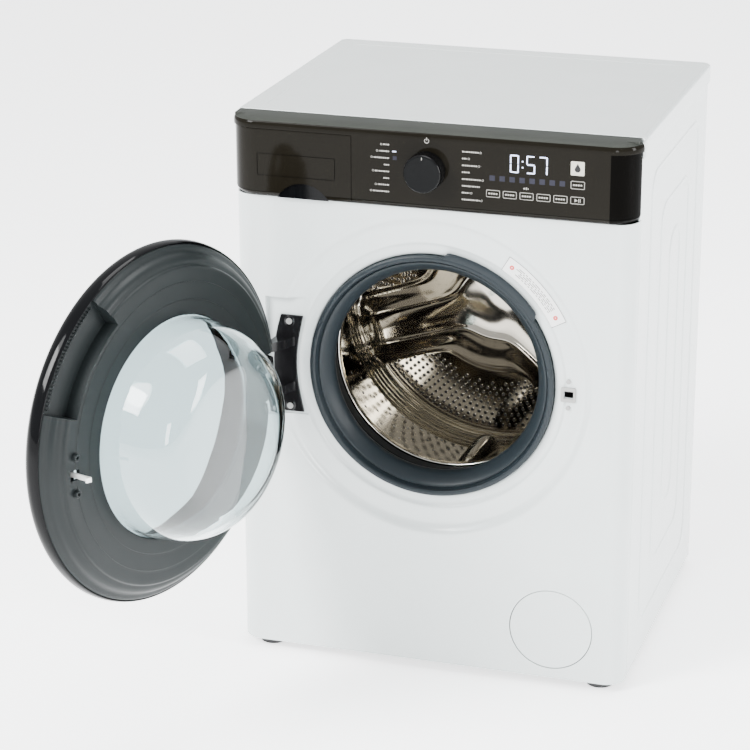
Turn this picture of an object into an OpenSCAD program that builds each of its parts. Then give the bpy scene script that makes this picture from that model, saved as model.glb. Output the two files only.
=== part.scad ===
// Front load washing machine, in millimetres. +X right, front towards -Y, +Z up.
// The origin is on the floor, midway between the four feet.

/* [Cabinet] */
// Width across the side panels
body_w = 596; // [580:1:600]
// Depth from the front panel to the rear panel
body_d = 512; // [500:1:560]
// Height from the floor to the top of the lid
body_h = 840; // [830:1:850]
// Thickness of the modelled sheet metal
sheet = 2; // [1.5:0.5:3]
// Height of the cabinet's lower edge above the floor
foot_gap = 14; // [10:1:20]

/* [Door] */
// Angle that the door stands open at rest
door_open = 108; // [0:1:125]
// Radius of the door's outer rim
door_r = 257; // [250:1:260]
// Height of the door and drum centre above the floor
axis_z = 466; // [455:1:475]

/* [Drum] */
// Inner radius of the drum
drum_r = 233; // [225:1:236]
// Depth of the drum from its front lip to its back wall
drum_len = 284; // [260:1:290]
// Number of perforation rows along the drum
perf_rows = 5; // [3:1:8]

/* [Controls] */
// Height of the control fascia
fascia_h = 118; // [100:1:130]
// Radius of the programme knob's face
knob_r = 27; // [22:1:32]

/* [Hidden] */
$fn = 96;

// Planes and centres shared by the parts
half_w = body_w / 2;
front_y = -body_d / 2;
back_y = front_y + body_d;
hinge_x = -243;
hinge_y = front_y - 46;
lock_x = 206;
lock_z = axis_z - 5;
hatch_x = 189;
hatch_z = 92;
hatch_r = 62;
knob_x = -2;
knob_z = 781;
seam_x = -113;
fascia_y = front_y - 10;
fascia_z = body_h - fascia_h;
lip_z = 822;
corner_r = 30;
wrap = 3;
fascia_r = 42;
fascia_back = front_y + 24;
lid_y0 = front_y + 35;
side_y0 = front_y + corner_r + wrap + 0.4;
dish_r = 244;
open_r = 184.5;
tub_r = 260;
shaft_r = 12.5;
pulley_r = 141;
motor_pulley_r = 14;
motor_x = -112;
motor_z = 152;
spring_x = 210;
spring_y = front_y + 300;
damper_x = 195;
damper_y = front_y + 302;
sump_x = 60;
sump_y = front_y + 150;
drawer_x0 = -286;
drawer_x1 = -124;

// ---- helpers ----

// Local Z points from the front of the machine to its back, from depth y behind the front panel
module inwards(x, y, z) translate([x, front_y + y, z]) rotate([-90, 0, 0]) children();

// A solid turned round the drum's axis, drawn as [radius, depth behind the front panel]
module turned(points, from = 0, sweep = 360)
    inwards(0, 0, axis_z) rotate([0, 0, from]) rotate_extrude(angle = sweep) polygon(points);

// A rounded rectangle in two dimensions, from one corner to the other
module round_rect(x0, y0, x1, y1, r) {
    translate([x0 + r, y0]) square([x1 - x0 - 2 * r, y1 - y0]);
    translate([x0, y0 + r]) square([x1 - x0, y1 - y0 - 2 * r]);
    for (x = [x0 + r, x1 - r], y = [y0 + r, y1 - r]) translate([x, y]) circle(r);
}

// A frame between two rounded rectangles
module round_frame(x0, y0, x1, y1, r, w) difference() {
    round_rect(x0, y0, x1, y1, r);
    round_rect(x0 + w, y0 + w, x1 - w, y1 - w, r - w);
}

// A plan outline with both front corners rounded, from the front plane y0 back to y1
module front_plan(x, y0, y1, r) intersection() {
    union() {
        translate([-x, y0 + r]) square([2 * x, y1 - y0]);
        translate([-x + r, y0]) square([2 * x - 2 * r, 2 * r]);
        for (s = [-1, 1]) translate([s * (x - r), y0 + r]) circle(r);
    }
    translate([-x - 1, y0 - 1]) square([2 * x + 2, y1 - y0 + 1]);
}

// A bent pipe through points, made of straight lengths and ball joints
module pipe(points, r) {
    for (i = [0:len(points) - 2]) {
        d = points[i + 1] - points[i];
        translate(points[i]) sphere(r + 0.6);
        translate(points[i]) rotate([0, acos(d[2] / norm(d)), atan2(d[1], d[0])]) cylinder(h = norm(d), r = r);
    }
    translate(points[len(points) - 1]) sphere(r + 0.6);
}

// Places a part drawn with the door closed where the door stands
module on_door() translate([hinge_x, hinge_y, 0]) rotate([0, 0, -door_open])
    translate([-hinge_x, -hinge_y, 0]) children();

// ---- cabinet ----

rib_frames = [[100, 775, 452, 62], [176, 706, 388, 130], [246, 646, 330, 196]];

module side_panel(s) color("white") {
    x0 = s > 0 ? half_w - sheet : -half_w;
    translate([x0, side_y0, foot_gap]) cube([sheet, body_d - corner_r - wrap - 0.4 - sheet, 806]);
    translate([s > 0 ? half_w - 22 : -half_w, side_y0, 818]) cube([22, body_d - corner_r - wrap - 3, sheet]);
    translate([s > 0 ? half_w - 22 : -half_w, side_y0, foot_gap])
        cube([22, body_d - corner_r - wrap - 3, sheet]);
    for (f = rib_frames)
        translate([s > 0 ? half_w - 0.5 : -half_w - 1.2, front_y, 0]) rotate([90, 0, 90])
            linear_extrude(1.7) round_frame(f[0], f[3], f[2], f[1], 40, 12);
    // The upper part reaches forward to the fascia
    translate([x0, fascia_back + 0.6, fascia_z + 0.6]) cube([sheet, 20, 820 - fascia_z - 0.6]);
}

// The pressed dish round the door opening, with its turned-in lip
module dish() turned([
    [dish_r + 8, 0], [dish_r, 0], [dish_r - 5, 1.5], [dish_r - 10, 6], [dish_r - 15, 8], [206, 8],
    [202, 9], [198, 12], [188, 13], [open_r, 15], [open_r, 28], [open_r + sheet, 28], [open_r + sheet, 17],
    [190, 15], [199, 14], [203, 11], [207, 10], [dish_r - 14, 10], [dish_r - 8, 8],
    [dish_r - 3, 3.2], [dish_r + 1, 2], [dish_r + 8, 2]
]);

// Everything behind the pressed front surface
module behind_dish() turned([
    [300, 0], [dish_r, 0], [dish_r - 5, 1.5], [dish_r - 10, 6], [dish_r - 15, 8], [206, 8], [202, 9],
    [198, 12], [188, 13], [180, 13], [180, 30], [300, 30]
]);

module front_panel() color("white") difference() {
    union() {
        difference() {
            union() {
                difference() {
                    translate([0, 0, foot_gap]) linear_extrude(fascia_z - 0.6 - foot_gap) difference() {
                        front_plan(half_w, front_y, front_y + corner_r + wrap, corner_r);
                        translate([0, sheet])
                            front_plan(half_w - sheet, front_y, front_y + corner_r + wrap, corner_r - sheet);
                    }
                    inwards(0, -5, axis_z) cylinder(h = 20, r = dish_r + 6);
                }
                dish();
            }
            translate([-252, front_y - 1, axis_z - 92]) cube([62, 10.5, 184]);
        }
        // Flat pad for the hinge, sunk a little into the dish
        difference() {
            intersection() {
                translate([-254, front_y - 1, axis_z - 94]) cube([62, 12.5, 188]);
                behind_dish();
            }
            translate([-252, front_y - 1, axis_z - 92]) cube([64, 10.5, 184]);
        }
    }
    inwards(hatch_x, -5, hatch_z) cylinder(h = 20, r = hatch_r + 1.2);
    translate([lock_x - 7, front_y + 4, lock_z - 5]) cube([14, 12, 10]);
    for (z = [-66, 66]) inwards(-215, 5, axis_z + z) cylinder(h = 10, r = 2.2);
    for (z = [-20, 20]) inwards(lock_x, 5, lock_z + z) cylinder(h = 10, r = 2.2);
}

inlet_x = 215;
inlet_z = 770;
drain_x = -215;
drain_z = 700;
cord_x = 215;
cord_z = 690;
transit_dx = 340;
transit_dz = 300;
transit_z = 450;

module rear_panel() color("silver") difference() {
    union() {
        translate([-half_w + 0.3, back_y - sheet, foot_gap]) cube([body_w - 0.6, sheet, 792]);
        // Stiffening frame pressed into the sheet
        translate([0, back_y + 1.5, 0]) rotate([90, 0, 0]) linear_extrude(1.6)
            round_frame(-250, 60, 250, 640, 40, 14);
    }
    translate([0, back_y + 3, 0]) rotate([90, 0, 0]) linear_extrude(8) round_rect(-150, 240, 150, 560, 60);
    inwards(inlet_x, body_d - 6, inlet_z) cylinder(h = 12, r = 16.5);
    inwards(drain_x, body_d - 6, drain_z) cylinder(h = 12, r = 13);
    inwards(cord_x, body_d - 6, cord_z) cylinder(h = 12, r = 11);
    for (x = [-1, 1], z = [-1, 1])
        inwards(x * transit_dx / 2, body_d - 6, transit_z + z * transit_dz / 2) cylinder(h = 12, r = 8);
    for (i = [0:7]) translate([-120 + i * 32, back_y - 6, 600]) cube([16, 12, 4]);
}

module rear_service_cover() color("silver") {
    translate([0, back_y + 1.4, 0]) rotate([90, 0, 0]) linear_extrude(1.4) round_rect(-158, 232, 158, 568, 68);
    translate([0, back_y + 5, 0]) rotate([90, 0, 0]) linear_extrude(5) round_rect(-149, 241, 149, 559, 59);
}

foot_x = 258;
foot_y = 220;

module base_tray() color("dimgray") difference() {
    union() {
        translate([0, 0, foot_gap + 2]) linear_extrude(3)
            front_plan(half_w - sheet - 0.4, front_y + sheet + 0.4, back_y - 2.6, corner_r - sheet - 0.4);
        for (y = [front_y + 14, back_y - 22])
            translate([-half_w + 24, y, foot_gap + 4.9]) cube([body_w - 48, 18, 26]);
        for (x = [-1, 1], y = [-1, 1]) translate([x * foot_x, y * foot_y, foot_gap + 2]) cylinder(h = 26, r = 16);
    }
    for (x = [-1, 1], y = [-1, 1]) translate([x * foot_x, y * foot_y, 0]) cylinder(h = 60, r = 5.05);
}

module feet() color("black") for (x = [-1, 1], y = [-1, 1]) translate([x * foot_x, y * foot_y, 0]) {
    cylinder(h = 7, r = 20);
    translate([0, 0, 7]) cylinder(h = 3, r1 = 20, r2 = 12);
    cylinder(h = 44, r = 5);
}

module foot_lock_nuts() color("silver") for (x = [-1, 1], y = [-1, 1])
    translate([x * foot_x, y * foot_y, 10.2]) difference() {
        cylinder(h = 5.6, r = 9.8, $fn = 6);
        translate([0, 0, -1]) cylinder(h = 8, r = 5.05);
    }

module top_cover() color("whitesmoke") difference() {
    translate([0, 0, 810]) linear_extrude(body_h - 810)
        round_rect(-301, fascia_back + 0.6, 301, back_y + 8, 9);
    translate([0, 0, 809]) linear_extrude(27.5)
        round_rect(-298.6, front_y + 10, 298.6, back_y + 2.6, 6.6);
    // Room for the fascia's top edge
    translate([-298, front_y + 10, 809]) cube([596, lid_y0 + 0.6 - front_y - 10, 40]);
    // Shallow inset panel on the top
    translate([0, 0, body_h - 0.8]) linear_extrude(2) round_rect(-267, front_y + 68, 267, back_y - 40, 12);
}

module top_braces() color("silver") {
    for (y = [front_y + 60, spring_y - 15, back_y - 40])
        translate([-half_w + sheet + 0.4, y, 820.4]) cube([body_w - 2 * sheet - 0.8, 30, 2]);
    difference() {
        translate([-half_w + sheet + 0.4, spring_y - 15, 806]) cube([body_w - 2 * sheet - 0.8, 3, 14.6]);
        translate([-half_w + 2, spring_y - 20, 800]) cube([22.5, 40, 20.2]);
        translate([half_w - 24.5, spring_y - 20, 800]) cube([22.5, 40, 20.2]);
    }
    for (s = [-1, 1]) translate([s * spring_x, spring_y, 795]) {
        cylinder(h = 26, r = 4);
        cylinder(h = 4, r = 9);
    }
}

// ---- controls ----

module fascia_shape() intersection() {
    union() {
        translate([0, 0, fascia_z]) linear_extrude(lip_z - fascia_z + 0.01)
            front_plan(half_w + 2, fascia_y, fascia_back, fascia_r);
        translate([0, 0, lip_z]) linear_extrude(18)
            front_plan(half_w + 4.5, fascia_y, fascia_back, fascia_r + 2);
        translate([-half_w + 0.6, front_y, lip_z]) cube([body_w - 1.2, lid_y0 - front_y, 18]);
    }
    // Side profile: a chamfered lower edge and a rounded top that runs back to the lid
    translate([-320, front_y, 0]) rotate([90, 0, 90]) linear_extrude(640) polygon([
        [35, fascia_z], [-3, fascia_z], [-8, fascia_z + 4], [-10, fascia_z + 9], [-10, 829], [-9.2, 833],
        [-7, 836.5], [-3, 838.4], [2, 839.2], [20, 839.8], [35, 840]
    ]);
}

module control_fascia() color("black") difference() {
    fascia_shape();
    // Hollow back, open to the rear and below the lip
    translate([0, 0, fascia_z - 5]) linear_extrude(110)
        front_plan(half_w - 1.6, fascia_y + 3.5, front_y + 60, fascia_r - 3.6);
    translate([-half_w + 1.2, fascia_back - 2, fascia_z - 5]) cube([body_w - 2.4, 20, 110.5]);
    // The detergent drawer's place
    translate([-320, fascia_y - 5, fascia_z - 5]) cube([320 + seam_x, 60, 113.4]);
    inwards(knob_x, -20, knob_z) cylinder(h = 30, r = 5.06);
    translate([78, fascia_y - 2, 744]) cube([152, 2.8, 74]);
}

module display_window() color("dimgray") translate([78.3, fascia_y + 0.1, 744.3]) cube([151.4, 0.6, 73.4]);

module control_board() color("darkgreen") {
    translate([-60, front_y + 8, 735]) cube([320, 1.6, 84]);
    inwards(knob_x, -4, knob_z) difference() {
        cylinder(h = 12, r = 12);
        translate([0, 0, -1]) cylinder(h = 20, r = 3.06);
    }
    for (x = [60, 110, 160, 210]) translate([x, front_y + 9.5, 750]) cube([24, 12, 30]);
}

module program_knob() color("black") {
    inwards(knob_x, -34.5, knob_z) difference() {
        union() {
            cylinder(h = 3, r1 = knob_r - 1.5, r2 = knob_r + 1);
            translate([0, 0, 3]) cylinder(h = 21, r = knob_r + 1);
        }
        // Shallow face, and an index notch in the rim
        translate([0, 0, -1]) cylinder(h = 1.8, r = knob_r - 5);
        translate([-1, -knob_r - 3, 6]) cube([2, 4, 20]);
    }
    inwards(knob_x, -11, knob_z) cylinder(h = 6.4, r = 5);
    inwards(knob_x, -4.7, knob_z) cylinder(h = 11.2, r = 3);
}

module drawer_front() color("black") difference() {
    intersection() {
        fascia_shape();
        translate([-320, fascia_y - 2, fascia_z - 1]) cube([320 + seam_x - 0.8, 32, 107]);
    }
    translate([0, 0, fascia_z - 5]) linear_extrude(109)
        front_plan(half_w - 1.6, fascia_y + 3.5, front_y + 60, fascia_r - 3.6);
    translate([-half_w + 1.2, front_y + 3, fascia_z - 5]) cube([body_w, 60, 120]);
    // Finger scoop in the lower edge and the frame line round the inset plate
    inwards(-187, -20, fascia_z - 14) cylinder(h = 40, r = 40);
    translate([0, fascia_y + 1, 0]) rotate([90, 0, 0]) linear_extrude(3) round_frame(-255, 755, -138, 787, 3, 1.2);
}

module detergent_drawer() color("lightgray") difference() {
    union() {
        translate([drawer_x0, front_y + 7, 740]) cube([drawer_x1 - drawer_x0, 222, 66]);
        translate([drawer_x0 + 36, fascia_y + 3.7, 740]) cube([drawer_x1 - drawer_x0 - 42, 20, 66]);
    }
    translate([drawer_x0 + 3, front_y + 14, 744]) cube([48, 200, 70]);
    translate([drawer_x0 + 54, front_y + 14, 744]) cube([48, 200, 70]);
    translate([drawer_x0 + 105, front_y + 14, 744]) cube([54, 200, 70]);
}

module dispenser_housing() color("gainsboro") difference() {
    union() {
        translate([drawer_x0 - 5, front_y + 22, 733]) cube([drawer_x1 - drawer_x0 + 10, 232, 82]);
        translate([-205, front_y + 240, 700]) cylinder(h = 36, r = 18);
    }
    translate([drawer_x0 - 1.5, front_y + 10, 736.5]) cube([drawer_x1 - drawer_x0 + 3, 240, 72]);
    translate([-205, front_y + 240, 690]) cylinder(h = 60, r = 14);
}

module inlet_valve() color("white") {
    inwards(inlet_x, body_d - 8, inlet_z) difference() {
        union() {
            cylinder(h = 22, r = 13.2);
            translate([0, 0, -40]) cylinder(h = 48.5, r = 16);
        }
        translate([0, 0, -10]) cylinder(h = 40, r = 9);
    }
    translate([inlet_x - 14, back_y - 78, inlet_z - 14]) cube([28, 32, 44]);
    translate([inlet_x - 45, back_y - 72, inlet_z - 8]) rotate([0, 90, 0]) cylinder(h = 32, r = 7);
}

module inlet_hose() color("dimgray") {
    bend = 46;
    x = -124;
    y = back_y - 72;
    z = inlet_z - 8;
    translate([x - 4, y, z]) rotate([0, 90, 0]) cylinder(h = inlet_x - 45.4 - x + 4, r = 8.6);
    // One wide bend, then a straight run to the dispenser
    translate([x, y - bend, z]) rotate([0, 0, 90]) rotate_extrude(angle = 90) translate([bend, 0]) circle(8);
    inwards(x - bend, 254.4, z) cylinder(h = y - bend - front_y - 254.4 + 4, r = 8.6);
}

module dispenser_hose() color("dimgray") difference() {
    union() {
        for (i = [0:2]) translate([-205, front_y + 240, 672 + i * 10]) cylinder(h = 5, r = 17.5);
        translate([-205, front_y + 240, 670]) cylinder(h = 29.6, r = 15.5);
    }
    translate([-205, front_y + 240, 630]) cylinder(h = 80, r = 13);
}

module drain_hose() color("dimgray") {
    pipe([[150, front_y + 175, 60], [70, 30, 40], [-180, 150, 40], [-262, 205, 120],
        [-262, 215, 640], [drain_x, 225, drain_z], [drain_x, back_y - 2, drain_z]], 10);
    inwards(drain_x, body_d - 10, drain_z) difference() {
        cylinder(h = 42, r = 10.5);
        translate([0, 0, 20]) cylinder(h = 30, r = 8);
    }
    inwards(drain_x, body_d - 3, drain_z) cylinder(h = 3, r = 12.8);
}

module sump_hose() color("dimgray") difference() {
    union() {
        translate([sump_x, sump_y, 100]) cylinder(h = 100, r = 20);
        for (i = [0:4]) translate([sump_x, sump_y, 128 + i * 13]) cylinder(h = 6, r = 24);
        translate([sump_x, sump_y, 100]) sphere(21);
        translate([sump_x, sump_y, 100]) rotate([0, 90, 0]) cylinder(h = 88.6, r = 17);
    }
    translate([sump_x, sump_y, 100]) cylinder(h = 101, r = 16);
    translate([sump_x, sump_y, 100]) rotate([0, 90, 0]) cylinder(h = 108, r = 14);
}

module drain_pump() color("whitesmoke") difference() {
    union() {
        inwards(hatch_x, 16, hatch_z) cylinder(h = 132, r = 33);
        inwards(hatch_x, 10, hatch_z) cylinder(h = 7, r = 44);
        inwards(hatch_x, 148, hatch_z) cylinder(h = 10, r = 40);
        inwards(hatch_x, 158, hatch_z) cylinder(h = 60, r = 30);
        translate([hatch_x - 30, front_y + 60, foot_gap + 5.2]) cube([60, 80, 44]);
    }
    inwards(hatch_x, 0, hatch_z) cylinder(h = 126, r = 28);
    inwards(hatch_x, 120, hatch_z) cylinder(h = 32, r = 20);
}

module pump_filter() color("black") {
    inwards(hatch_x, 11, hatch_z) difference() {
        union() {
            cylinder(h = 16, r = 27.6);
            translate([0, 0, 15]) cylinder(h = 66, r = 24);
        }
        translate([0, 0, 24]) cylinder(h = 80, r = 21);
        for (a = [0:45:315]) rotate([0, 0, a]) translate([18, -3, 28]) cube([10, 6, 46]);
        for (s = [-1, 1]) translate([s * 15 - 8, -21, -1]) cube([16, 42, 10]);
    }
}

module pump_impeller() color("white") inwards(hatch_x, 128, hatch_z) {
    cylinder(h = 20, r = 5);
    for (a = [0:60:300]) rotate([0, 0, a]) translate([0, -1, 2]) cube([17, 2, 16]);
}

module mains_filter() color("black") {
    translate([cord_x - 28, back_y - 60, cord_z - 70]) cube([50, 36, 50]);
    inwards(cord_x, body_d - 14, cord_z) difference() {
        union() {
            cylinder(h = 12, r = 10.8);
            translate([0, 0, 14.2]) cylinder(h = 4, r = 14);
            cylinder(h = 16, r = 8);
        }
        translate([0, 0, -5]) cylinder(h = 40, r = 4.5);
    }
}

module filter_hatch() color("white") {
    inwards(hatch_x, 0, hatch_z) cylinder(h = 3, r = hatch_r);
    // Clip tongues behind the rim
    for (s = [-1, 1]) translate([hatch_x - 8, front_y + 2.5, hatch_z + s * 54 - 1.5]) cube([16, 7, 3]);
}

// ---- door hardware on the cabinet ----

module hinge_bracket() color("black") difference() {
    union() {
        // Crescent plate on the pad
        intersection() {
            translate([-240, front_y + 6, axis_z - 76]) cube([47, 3.4, 152]);
            difference() {
                inwards(0, 0, axis_z) cylinder(h = 30, r = 243);
                inwards(0, -1, axis_z) cylinder(h = 40, r = 196);
            }
        }
        // Two goose-neck lugs that carry the pin
        for (s = [-1, 1]) translate([0, 0, axis_z + s * 35 - 7]) linear_extrude(14) {
            polygon([[-236, front_y + 7], [-205, front_y + 7], [-214, front_y - 12], [-231, front_y - 38],
                [-238, front_y - 50], [-250, front_y - 42]]);
            translate([hinge_x, hinge_y]) circle(8);
        }
    }
    translate([hinge_x, hinge_y, axis_z - 60]) cylinder(h = 120, r = 3.05);
    for (z = [-66, 66]) inwards(-215, -10, axis_z + z) cylinder(h = 40, r = 2.6);
}

module hinge_pin() color("silver") {
    translate([hinge_x, hinge_y, axis_z - 43.5]) cylinder(h = 87, r = 3);
    translate([hinge_x, hinge_y, axis_z + 42.3]) cylinder(h = 2, r = 5);
}

module panel_screws() color("silver") {
    for (z = [-66, 66]) inwards(-215, 3.2, axis_z + z) {
        difference() {
            cylinder(h = 2.6, r = 4.6);
            translate([-3, -0.6, -1]) cube([6, 1.2, 2]);
            translate([-0.6, -3, -1]) cube([1.2, 6, 2]);
        }
        cylinder(h = 16, r = 2);
    }
    for (z = [-20, 20]) inwards(lock_x, 5.8, lock_z + z) {
        difference() {
            cylinder(h = 2, r = 3.4);
            translate([-2.2, -0.5, -1]) cube([4.4, 1, 2]);
        }
        cylinder(h = 14, r = 2);
    }
}

module door_lock() color("dimgray") difference() {
    translate([lock_x - 14, front_y + 16, lock_z - 45]) cube([34, 30, 90]);
    translate([lock_x - 8, front_y + 15, lock_z - 6.2]) cube([23, 30, 12.4]);
    for (z = [-20, 20]) inwards(lock_x, 10, lock_z + z) cylinder(h = 30, r = 2.1);
}

module lock_plate() color("silver") difference() {
    translate([0, front_y + 7.8, 0]) rotate([90, 0, 0]) linear_extrude(2)
        round_rect(lock_x - 11, lock_z - 11, lock_x + 11, lock_z + 11, 2);
    translate([lock_x - 7.5, front_y, lock_z - 5.5]) cube([15, 20, 11]);
}

module gasket_clamp() color("silver") inwards(0, 20, axis_z) rotate_extrude() translate([open_r + 3.6, 0])
    circle(1.5);

module door_gasket() color("slategray") {
    turned([[184.2, 5.5], [184.2, 27], [176, 27], [160, 36], [159, 40], [166, 47], [181, 58], [181, 66],
        [178, 70], [180.8, 74], [180.8, 87.6], [177.6, 87.6], [177.6, 68], [177.8, 60], [163, 50], [155.5, 42],
        [155.5, 36], [158, 32], [174.5, 22], [177, 12], [178, 7], [180, 5.5]]);
    // Wider tab with the water inlet, upper right
    turned([[183, 5.5], [190, 5.5], [190, 8], [183, 8]], from = -84, sweep = 50);
}

// ---- tub ----

module tub_front() color("lightgray") {
    difference() {
        translate([sump_x, sump_y, 191]) cylinder(h = 30, r = 15.4);
        translate([sump_x, sump_y, 180]) cylinder(h = 60, r = 12);
        turned([[0, 110], [tub_r + 1, 110], [tub_r + 1, 245], [0, 245]]);
    }
    turned([[171.5, 76], [177.2, 76], [177.2, 88.5], [222, 92], [256, 100], [tub_r + 6, 106],
        [tub_r + 3.5, 243], [tub_r + 8, 243], [tub_r + 8, 250], [tub_r, 250], [262, 108], [220, 97],
        [171.5, 94]]);
    // Posts for the counterweights
    for (a = [0:60:300]) inwards(0, 82, axis_z) rotate([0, 0, a + 30]) translate([225, 0, 0])
        cylinder(h = 14, r = 6);
}

module tub_rear() color("lightgray") difference() {
    union() {
        turned([[tub_r, 251.2], [tub_r + 8, 251.2], [tub_r + 8, 258], [tub_r + 3.5, 258], [tub_r + 3.5, 416],
            [60, 422], [60, 436], [32, 436], [32, 414], [60, 412], [tub_r - 0.5, 408], [tub_r - 0.5, 258]]);
        for (a = [0:30:330]) inwards(0, 0, axis_z) rotate([0, 0, a]) translate([50, -2, 413])
            cube([205, 4, 18]);
        // Ears for the springs
        for (s = [-1, 1]) translate([s * spring_x, spring_y, 628]) difference() {
            translate([-9, -12, -22]) cube([18, 24, 44]);
            translate([0, 0, 20]) cylinder(h = 10, r = 5);
        }
        // Motor mounts and damper ears
        for (s = [-1, 1]) translate([motor_x + s * 45 - 6, front_y + 300, 214]) cube([12, 100, 44]);
        for (s = [-1, 1]) translate([s * damper_x - 9, damper_y - 12, 205]) cube([18, 24, 98]);
    }
    turned([[0, 258], [tub_r - 0.6, 258], [tub_r - 0.6, 407.9], [60, 411.9], [0, 411.9]]);
}

module tub_seal() color("black") turned([[tub_r + 1, 250.1], [tub_r + 7, 250.1], [tub_r + 7, 251.1],
    [tub_r + 1, 251.1]]);

module counterweight_top() color("gray") difference() {
    translate([-110, front_y + 120, 700]) cube([240, 120, 68]);
    inwards(0, 100, axis_z) cylinder(h = 200, r = tub_r + 10);
}

module counterweights_front() color("gray") for (s = [-1, 1]) inwards(0, 40, axis_z)
    rotate([0, 0, s > 0 ? -62 : 118]) rotate_extrude(angle = 124) polygon([[196, 8], [252, 8], [262, 20],
        [262, 40], [196, 40]]);

module heater() color("silver") {
    for (x = [-30, 30]) translate([x, front_y + 120, 218]) rotate([-90, 0, 0]) cylinder(h = 284, r = 3.5);
    translate([-30, front_y + 120, 218]) rotate([0, 90, 0]) cylinder(h = 60, r = 3.5);
    for (x = [-30, 30]) translate([x, front_y + 120, 218]) sphere(3.5);
}

module motor() color("dimgray") difference() {
    union() {
        inwards(motor_x, 290, motor_z) cylinder(h = 130, r = 58);
        inwards(motor_x, 280, motor_z) cylinder(h = 10, r = 40);
        for (s = [-1, 1]) translate([motor_x + s * 45 - 5, front_y + 310, motor_z + 20]) cube([10, 80, s < 0 ? 41.8 : 37.4]);
    }
    inwards(motor_x, 270, motor_z) cylinder(h = 180, r = 6.05);
}

module bearings() color("silver") for (y = [414.2, 425.4]) turned([[shaft_r + 0.05, y], [31.9, y],
    [31.9, y + 10], [shaft_r + 0.05, y + 10]]);

// Points of a loop round a large pulley at the origin and a small one at c
function arc(c, r, from, to, n) = [for (i = [0:n]) c + r * [cos(from + (to - from) * i / n),
    sin(from + (to - from) * i / n)]];
function belt_loop(c, r1, r2) = let (a = atan2(c[1], c[0]), lean = asin((r1 - r2) / norm(c))) concat(
    arc([0, 0], r1, a + 90 - lean, a + 270 + lean, 48), arc(c, r2, a - 90 + lean, a + 90 - lean, 16));

module drive_belt() color("black") inwards(0, 462, axis_z) linear_extrude(14) difference() {
    c = [motor_x, axis_z - motor_z];
    polygon(belt_loop(c, pulley_r + 4.5, motor_pulley_r + 4.5));
    polygon(belt_loop(c, pulley_r + 1, motor_pulley_r + 1));
}

module damper_cylinders() color("dimgray") for (s = [-1, 1])
    translate([s * damper_x, damper_y, foot_gap + 5.2]) difference() {
        union() {
            cylinder(h = 120, r = 13);
            translate([0, 0, 0]) cylinder(h = 8, r = 17);
        }
        translate([0, 0, 16]) cylinder(h = 120, r = 6.05);
    }

module damper_rods() color("silver") for (s = [-1, 1])
    translate([s * damper_x, damper_y, 62]) cylinder(h = 142.8, r = 6);

// A helical spring as one tube swept round its axis
function spring_point(t, r, pitch) = [r * cos(t * 360), r * sin(t * 360), t * pitch];
function ring(p, t, w, m) = [for (k = [0:m - 1]) p + w * [cos(k * 360 / m) * cos(t * 360),
    cos(k * 360 / m) * sin(t * 360), sin(k * 360 / m)]];
module coil(turns, r, w, h) {
    m = 6;
    steps = 14;
    n = turns * steps;
    pts = [for (i = [0:n]) each ring(spring_point(i / steps, r, h / turns), i / steps, w, m)];
    sides = [for (i = [0:n - 1], k = [0:m - 1]) [i * m + k, i * m + (k + 1) % m,
        (i + 1) * m + (k + 1) % m, (i + 1) * m + k]];
    polyhedron(pts, concat(sides, [[for (k = [m - 1:-1:0]) k]], [[for (k = [0:m - 1]) n * m + k]]));
}

module suspension_springs() color("silver") for (s = [-1, 1])
    translate([s * spring_x, spring_y, 654]) coil(9, 11, 1.8, 136);

// ---- drum ----

drum_y0 = 104;
drum_y1 = drum_y0 + drum_len;

module drum_shell() color("silver") difference() {
    turned([[drum_r, drum_y0 + 14], [drum_r + 1.6, drum_y0 + 14], [drum_r + 1.6, drum_y1], [drum_r, drum_y1]]);
    for (i = [0:perf_rows - 1], a = [20:40:340]) inwards(0, drum_y0 + 50 + i * 46, axis_z)
        rotate([0, 0, a + (i % 2) * 8]) rotate([0, 90, 0]) translate([0, 0, drum_r - 6]) cylinder(h = 14, r = 2.5);
}

module drum_front() color("silver") turned([[168, drum_y0 - 6], [170, drum_y0 - 8], [172, drum_y0 - 6],
    [172, drum_y0 - 1], [200, drum_y0 + 3], [226, drum_y0 + 8], [drum_r + 1.6, drum_y0 + 13.8],
    [drum_r - 4, drum_y0 + 13.8], [224, drum_y0 + 10.5], [199, drum_y0 + 5], [168, drum_y0 + 1]]);

module drum_back() color("silver") difference() {
    union() {
        turned([[0, drum_y1 - 22], [58, drum_y1 - 22], [84, drum_y1], [drum_r + 1.6, drum_y1],
            [drum_r + 1.6, drum_y1 + 2], [83, drum_y1 + 2], [56, drum_y1 - 20], [0, drum_y1 - 20]]);
        // Three broad raised arms
        for (a = [0:120:240]) inwards(0, drum_y1 - 19, axis_z) rotate([0, 0, a + 42])
            intersection() {
                translate([50, -42, 0]) cube([drum_r - 57, 84, 20.5]);
                cylinder(h = 22, r = drum_r - 6);
            }
    }
    for (a = [0:120:240], i = [0:3], j = [-2:2]) inwards(0, drum_y1 - 20, axis_z)
        rotate([0, 0, a + 102 + j * 9]) translate([115 + i * 26, 0, 0]) cylinder(h = 40, r = 2.5);
}

module drum_lifters() color("silver") for (a = [90, 210, 330]) inwards(0, drum_y0 + 34, axis_z)
    rotate([0, 0, a]) translate([drum_r - 0.6, 0, 0]) rotate([0, -90, 0]) {
        difference() {
            translate([0, -24, 0]) cube([218, 48, 34]);
            translate([-1, 0, 0]) for (s = [-1, 1]) translate([0, s * 24, 34]) rotate([45, 0, 0])
                translate([0, -26, -26]) cube([240, 52, 52]);
            translate([-1, -30, -6]) cube([240, 60, 8.2]);
        }
    }

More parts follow.
